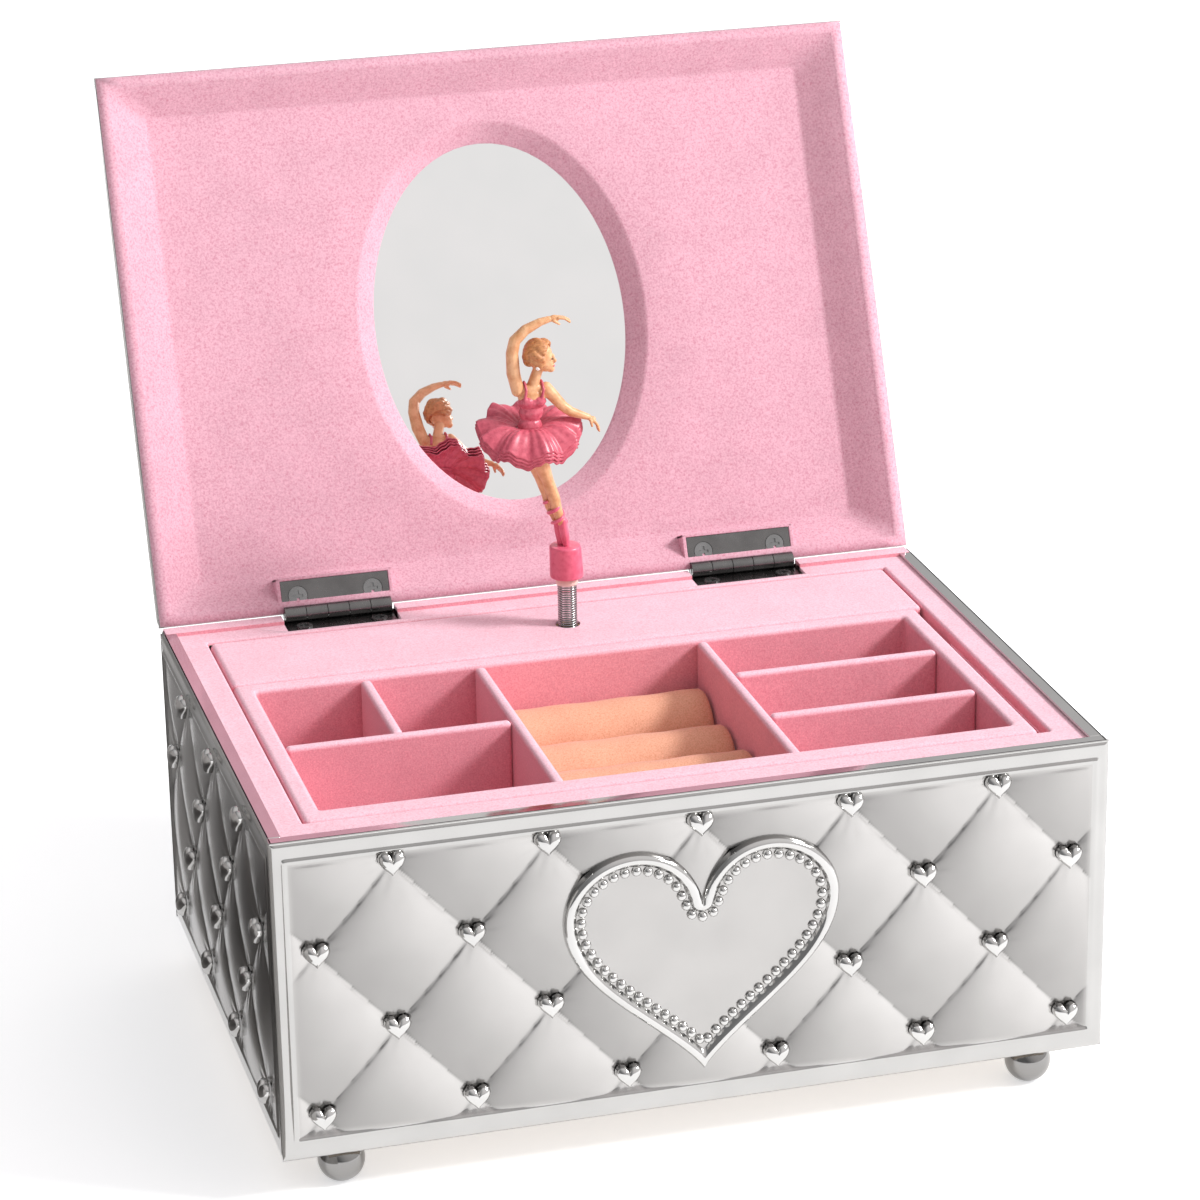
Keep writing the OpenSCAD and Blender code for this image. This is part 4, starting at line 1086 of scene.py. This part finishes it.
def limb(start, end, r_start, r_end):
    """Balls strung closely from start to end."""
    a, b = dancer_point(*start), dancer_point(*end)
    count = max(2, int(np.linalg.norm(b - a) / (0.35 * min(r_start, r_end))) + 1)
    return [(a + (b - a) * t, (r_start + (r_end - r_start) * t,) * 3) for t in np.linspace(0, 1, count)]


def limbs(*stops):
    """A limb through several stops, each given as x, y, h and radius."""
    balls = []
    for (x0, y0, h0, r0), (x1, y1, h1, r1) in zip(stops[:-1], stops[1:]):
        balls += limb((x0, y0, h0), (x1, y1, h1), r0, r1)
    return balls


def ball(x, y, h, *radii):
    return (dancer_point(x, y, h), radii if len(radii) == 3 else (radii[0],) * 3)


def moulded(name, balls, voxel, smoothing):
    """One closed skin round many balls, as if moulded in one piece."""
    bm = bmesh.new()
    bmesh.ops.create_icosphere(bm, subdivisions=2, radius=1)
    template = np.array([v.co for v in bm.verts])
    triangles = [tuple(v.index for v in f.verts) for f in bm.faces]
    bm.free()
    points = np.concatenate([centre + template * np.array(radii) for centre, radii in balls])
    faces = [tuple(i + k * len(template) for i in t) for k in range(len(balls)) for t in triangles]
    obj = mesh_object(name, points, faces)
    remesh = obj.modifiers.new("remesh", "REMESH")
    remesh.mode = "VOXEL"
    remesh.voxel_size = voxel * MM
    remesh.use_smooth_shade = True
    if smoothing:
        smooth = obj.modifiers.new("smooth", "SMOOTH")
        smooth.factor = 0.5
        smooth.iterations = smoothing
    return apply_modifiers(obj)


def figure_piece(obj, material, slot, *nodes):
    paint(obj, material)
    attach(obj, "figure")
    if nodes:
        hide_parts(*nodes)


def skin():
    front_leg = limbs(
        (-1.2, -0.9, 27.0, 1.05), (-2.4, -1.0, 30.5, 1.35), (-3.2, -1.1, 34.0, 1.6), (-4.6, -1.0, 38.5, 1.5)
    ) + limbs((-4.6, -1.0, 38.5, 1.5), (-6.2, -1.0, 43.0, 2.1), (-7.6, -0.8, 48.0, 2.6))
    back_leg = limbs(
        (-2.0, 1.0, 27.0, 1.0), (-3.6, 1.1, 31.5, 1.5), (-4.4, 1.1, 35.0, 1.6), (-6.0, 1.1, 39.0, 1.5)
    ) + limbs((-6.0, 1.1, 39.0, 1.5), (-7.6, 1.1, 44.0, 2.2), (-8.8, 0.8, 48.0, 2.6))
    torso = [
        ball(-8.6, 0, 52.5, 3.0, 2.2, 3.0),
        ball(-8.2, 0, 56.5, 2.9, 2.1, 3.2),
        ball(-7.9, 0, 60.0, 3.6, 2.3, 2.8),
        ball(-7.7, 0, 62.2, 4.0, 1.7, 1.4),
    ]
    neck = limbs((-7.6, 0, 63.0, 1.5), (-6.4, -0.1, 66.5, 1.35))
    head = [
        ball(-5.7, -0.2, 70.3, 3.2, 3.0, 3.6),
        ball(-4.4, -0.7, 68.4, 2.1, 1.9, 2.1),
        ball(-3.3, -1.2, 67.1, 1.0, 1.0, 0.9),
        ball(-2.35, -1.5, 69.2, 0.55, 0.5, 0.6),
        ball(-2.65, -1.4, 70.1, 0.4, 0.4, 0.9),
        ball(-2.75, -1.4, 68.0, 0.5, 0.6, 0.35),
        ball(-6.7, -3.0, 69.2, 0.6, 0.35, 0.9),
    ]
    raised_arm = limbs(
        (-11.4, 0, 62.0, 1.65),
        (-12.4, 0, 66.5, 1.75),
        (-12.6, 0, 71.5, 1.6),
        (-11.9, 0, 74.6, 1.5),
        (-9.2, -0.2, 77.2, 1.35),
        (-5.6, -0.4, 78.9, 1.05),
        (-3.4, -0.4, 79.4, 0.85),
    )
    raised_hand = [ball(-2.0, -0.4, 79.5, 1.5, 0.75, 0.95)]
    for k in range(4):
        y = -1.0 + 0.42 * k
        tip = (1.9, y * 0.7, 78.3 + 0.12 * k, 0.32)
        raised_hand += limbs((-1.0, y, 79.7, 0.42), (0.6, y, 79.4, 0.38), tip)
    raised_hand += limbs((-2.2, -1.0, 79.0, 0.42), (-0.9, -1.2, 78.2, 0.34))
    low_arm = limbs(
        (-4.3, 0, 62.0, 1.6),
        (-2.9, -0.2, 60.2, 1.6),
        (-0.4, -0.7, 57.2, 1.35),
        (1.6, -1.0, 55.6, 1.25),
        (4.6, -1.3, 54.4, 0.95),
        (5.9, -1.3, 53.9, 0.8),
    )
    low_hand = [ball(6.9, -1.3, 53.2, 0.95, 0.7, 0.85)]
    for k in range(4):
        y = -1.9 + 0.42 * k
        low_hand += limbs((7.3, y, 52.8, 0.42), (8.2, y, 51.5, 0.36), (8.5, y, 50.2, 0.3))
    low_hand += limbs((6.4, -1.9, 53.0, 0.4), (6.6, -2.2, 51.7, 0.32))
    return moulded(
        "dancer_skin",
        front_leg + back_leg + torso + neck + head + raised_arm + raised_hand + low_arm + low_hand,
        0.2,
        2,
    )


def hair():
    """Wavy locks combed back from the hairline round a smooth cap."""
    centre = np.array([-5.9, -0.1, 70.6])
    face = np.array([0.86, -0.42, -0.12])
    face /= np.linalg.norm(face)
    up = np.array([0, 0, 1.0]) - face * face[2]
    up /= np.linalg.norm(up)
    side = np.cross(face, up)
    nape = -face * 0.93 - up * 0.38
    balls = [ball(-6.5, 0.1, 71.2, 3.25, 3.25, 3.2)]
    for k in range(22):
        around = math.radians(-118 + 236 * k / 21)
        hairline = up * math.cos(around) + side * math.sin(around)
        start = face * 0.5 + hairline * 0.87
        for t in np.linspace(0, 1, 26):
            way = start * (1 - t) + nape * t + hairline * 0.9 * math.sin(math.pi * t)
            way /= np.linalg.norm(way)
            wave = 0.22 * math.sin(9 * t + 2.1 * k) * side + 0.18 * math.cos(8 * t + 1.3 * k) * up
            p = centre + way * np.array([3.6, 3.5, 3.75]) + wave
            balls.append(ball(*p, 0.5 + 0.12 * math.sin(5 * t + k)))
    return moulded("dancer_hair", balls, 0.17, 1)


def leotard():
    balls = [
        ball(-8.7, 0, 50.0, 3.6, 2.9, 2.6),
        ball(-8.6, 0, 52.5, 3.25, 2.45, 3.0),
        ball(-8.2, 0, 56.3, 3.15, 2.35, 3.0),
        ball(-8.0, -0.2, 58.9, 3.75, 2.5, 2.1),
        ball(-9.4, -1.4, 59.2, 1.7, 1.5, 1.5),
        ball(-6.5, -1.4, 59.2, 1.7, 1.5, 1.5),
    ]
    for x_low, x_high in ((-10.2, -9.7), (-5.9, -5.4)):
        for y in (-1, 1):
            shoulder = (x_high, 0.4 * y, 63.9, 0.36)
            balls += limbs((x_low, 2.2 * y, 60.0, 0.42), (x_high, 1.9 * y, 62.2, 0.38), shoulder)
    return moulded("dancer_leotard", balls, 0.17, 1)


def tutu_layer(name, drop, reach, phase):
    """One frilled layer of the moulded skirt, pleated from waist to hem."""
    turn = np.linspace(0, 2 * math.pi, 360, endpoint=False)
    rings = []
    for s in np.linspace(0, 1, 26):
        rx, ry = 3.1 + (12.6 * reach - 3.1) * s, 2.4 + (8.9 * reach - 2.4) * s
        pleat = np.cos(9 * turn + phase + 0.7 * np.sin(2 * turn))
        fine = 0.2 * s * np.cos(30 * turn + 1.3 * np.sin(5 * turn) + phase)
        height = 52.4 + 1.6 * math.sin(2.4 * s) - 1.6 * s**2 + 4.7 * s**1.5 * np.sin(turn)
        swell = 1 + 0.05 * s * pleat
        h = height + 0.9 * s**1.5 * pleat + fine - drop * s
        x, y = SPINDLE[0] - 8.8 + rx * swell * np.cos(turn), SPINDLE[1] + ry * swell * np.sin(turn)
        rings.append(np.stack([x, y, VELVET_Z + h], -1))
    obj = rings_object(name, rings)
    solid = obj.modifiers.new("thickness", "SOLIDIFY")
    solid.thickness = 0.28 * MM
    solid.offset = 0
    return apply_modifiers(obj)


def ribbons_and_shoes():
    balls = limbs((-0.2, -0.7, 21.2, 0.9), (-0.6, -0.9, 24.2, 1.2), (-1.1, -0.9, 27.6, 1.15))
    balls += limbs((-1.2, 0.9, 21.2, 0.85), (-1.5, 1.0, 24.2, 1.15), (-2.0, 1.0, 27.6, 1.05))
    for phase in (0, math.pi):
        stops = []
        for t in np.linspace(0, 1, 40):
            a = phase + 2.2 * math.pi * t
            h = 27.0 + 6.0 * t
            x = -1.6 - 0.36 * (h - 27.0)
            stops.append((x + 1.75 * math.cos(a), 2.3 * math.sin(a), h, 0.5))
        balls += limbs(*stops)
    return moulded("dancer_shoes", balls, 0.17, 1)


def face_details():
    eyes = [ball(-3.1, -2.35, 69.9, 0.42, 0.2, 0.2), ball(-2.55, -0.4, 69.95, 0.2, 0.3, 0.2)]
    lips = [ball(-2.65, -1.6, 68.0, 0.4, 0.55, 0.2)]
    earring = [ball(-7.0, -3.2, 68.2, 0.62, 0.5, 0.68)]
    figure_piece(moulded("dancer_eyes", eyes, 0.08, 1), dark_paint, "figure_plastic")
    figure_piece(moulded("dancer_lips", lips, 0.08, 1), pink_paint, "figure_plastic")
    figure_piece(moulded("dancer_earring", earring, 0.1, 1), pearl_paint, "figure_plastic")


def turned(name, profile, lean=0):
    """A turned piece on the spindle's axis; it may lean along X with height."""
    base = profile[0][1]
    rings = [circle(SPINDLE[0] + lean * (z - base), SPINDLE[1], z, r, 64) for r, z in profile]
    return weighted(fix_normals(rings_object(name, rings, True, True)))


# Each layer of the skirt: how far its hem drops, its reach and the phase of its pleats
TUTU_LAYERS = [(0, 1, 0), (0.8, 1.015, 0.12), (1.6, 1.02, 0.24), (2.4, 1.0, 0.36)]


def dancer():
    figure_piece(skin(), skin_paint, "figure_plastic", "dancer")
    figure_piece(hair(), hair_paint, "figure_plastic")
    figure_piece(leotard(), tutu_paint, "tutu_net")
    figure_piece(ribbons_and_shoes(), pink_paint, "figure_plastic")
    face_details()
    layers = [tutu_layer(f"tutu_layer_{k}", *layer) for k, layer in enumerate(TUTU_LAYERS)]
    figure_piece(join("dancer_tutu", layers), tutu_paint, "tutu_net", "tutu")


def collar_and_cap():
    low, high = corners("dancer_collar")
    z0, z1, r = low[2], high[2], (high[0] - low[0]) / 2
    profile = [(r - 1.2, z0), (r - 0.35, z0), (r - 0.08, z0 + 0.12), (r, z0 + 0.5)]
    profile += [(r - 0.25, z1 - 0.6), (r - 0.4, z1 - 0.15), (r - 0.7, z1), (1.0, z1)]
    figure_piece(turned("pink_collar", profile, -0.035), pink_paint, "collar_plastic", "dancer_collar")
    low, high = corners("spring_cap")
    z0, z1, r = low[2], high[2], (high[0] - low[0]) / 2
    profile = [(r - 0.4, z0), (r - 0.1, z0 + 0.1), (r, z0 + 0.4), (r, z1 - 0.3), (r - 0.3, z1)]
    cap = paint(turned("spring_cap_turned", profile), cap_paint)
    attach(cap, "tilt")
    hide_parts("spring_cap")


dancer()
collar_and_cap()


# ---------- Materials of the CAD nodes that stay in view ----------

by_slot = {
    "wood": board,
    "hinge_steel": steel_dark,
    "screw_steel": steel_bright,
    "mirror_glass": mirror_glass,
    "bedplate": zinc,
    "tuned_steel": steel_bright,
    "brass": brass,
    "spring_steel": steel_bright,
    "fly_plastic": fly_plastic,
    "cap_plastic": cap_paint,
    "collar_plastic": pink_paint,
    "figure_plastic": skin_paint,
    "tutu_net": pink_paint,
    "velvet": velvet_pink,
    "silver_panel": silver_satin,
    "silver_polished": silver_bright,
    "roll_fabric": velvet_peach,
}
slot_of = {s["node"]: s["material_slot"] for s in frame["record"]["subparts"]}
for node_name, node in frame["nodes"].items():
    paint(node, by_slot[slot_of[node_name]])


# ---------- Floor, light and camera ----------


def floor():
    """A white table that glows a little, so shadows on it stay pale."""
    n = Nodes("studio_floor")
    tone = n.noise(300, 2, 0.5)
    n.color(n.ramp(tone, [(0.3, (0.88, 0.88, 0.885)), (0.7, (0.91, 0.91, 0.91))]))
    n.set(Roughness=0.9, Specular_IOR_Level=0.2, Emission_Strength=0.5)
    n.set(Emission_Color=(0.98, 0.985, 1.0, 1))
    far = 6000
    points = [(-far, -far, 0), (far, -far, 0), (far, far, 0), (-far, far, 0)]
    obj = paint(mesh_object("floor", points, [(0, 1, 2, 3)]), n.material)


def dark_card():
    """Stands left of the box, where only the silver mirrors it, and keeps that side dark."""
    n = Nodes("dark_card")
    tone = n.noise(60, 2, 0.5)
    n.color(n.ramp(tone, [(0.3, (0.24, 0.235, 0.23)), (0.7, (0.32, 0.31, 0.30))]))
    x = -HALF_W - 14
    points = [(x, -150, 0.5), (x, 400, 0.5), (x - 30, 400, 130), (x - 30, -150, 130)]
    obj = paint(mesh_object("card", points, [(0, 1, 2, 3)]), n.material)
    obj.visible_camera = False
    obj.visible_diffuse = False
    obj.visible_shadow = False


floor()
dark_card()


def area_light(name, location, target, size, power):
    data = bpy.data.lights.new(name, "AREA")
    data.shape = "RECTANGLE"
    data.size, data.size_y = size[0] * MM, size[1] * MM
    data.energy = power
    obj = bpy.data.objects.new(name, data)
    bpy.context.scene.collection.objects.link(obj)
    obj.location = Vector(location) * MM
    obj.rotation_euler = (Vector(target) - Vector(location)).to_track_quat("-Z", "Y").to_euler()


def sun_light(name, location, strength, width):
    """An even light from the side that location lies on; width is its spread in degrees."""
    data = bpy.data.lights.new(name, "SUN")
    data.energy = strength
    data.angle = math.radians(width)
    obj = bpy.data.objects.new(name, data)
    bpy.context.scene.collection.objects.link(obj)
    obj.location = Vector(location) * MM
    obj.rotation_euler = (-Vector(location)).to_track_quat("-Z", "Y").to_euler()


def sky():
    """Bright in front, above and to the right; dim behind and to the left."""
    world = bpy.data.worlds.new("studio")
    bpy.context.scene.world = world
    world.use_nodes = True
    tree = world.node_tree
    coords = tree.nodes.new("ShaderNodeTexCoord")
    dot = tree.nodes.new("ShaderNodeVectorMath")
    dot.operation = "DOT_PRODUCT"
    dot.inputs[1].default_value = (0.70, -0.15, 0.60)
    ramp = tree.nodes.new("ShaderNodeValToRGB")
    stops = [
        (0.0, (0.25, 0.25, 0.255)),
        (0.25, (0.55, 0.55, 0.555)),
        (0.5, (0.84, 0.81, 0.81)),
        (0.8, (1, 0.98, 0.98)),
    ]
    while len(ramp.color_ramp.elements) < len(stops):
        ramp.color_ramp.elements.new(0.5)
    for element, (position, color) in zip(ramp.color_ramp.elements, stops):
        element.position = position
        element.color = (*color, 1)
    tree.links.new(coords.outputs["Generated"], dot.inputs[0])
    tree.links.new(dot.outputs["Value"], ramp.inputs["Fac"])
    tree.links.new(ramp.outputs["Color"], tree.nodes["Background"].inputs["Color"])


LIGHT_SIDE = (740, -320, 600)
area_light("key", LIGHT_SIDE, (0, 0, 90), (220, 220), 3.5)
sun_light("sun", LIGHT_SIDE, 2.0, 12)
sky()
bpy.context.scene.view_settings.view_transform = "Standard"


def camera():
    data = bpy.data.cameras.new("camera")
    data.lens = 123.44
    data.sensor_width = 36
    data.clip_start = 0.01
    data.clip_end = 50
    obj = bpy.data.objects.new("camera", data)
    bpy.context.scene.collection.objects.link(obj)
    obj.location = Vector((-242.7, -914.9, 451.0)) * MM
    obj.rotation_euler = (math.radians(69.603), math.radians(0.951), math.radians(-15.483))
    bpy.context.scene.camera = obj


camera()
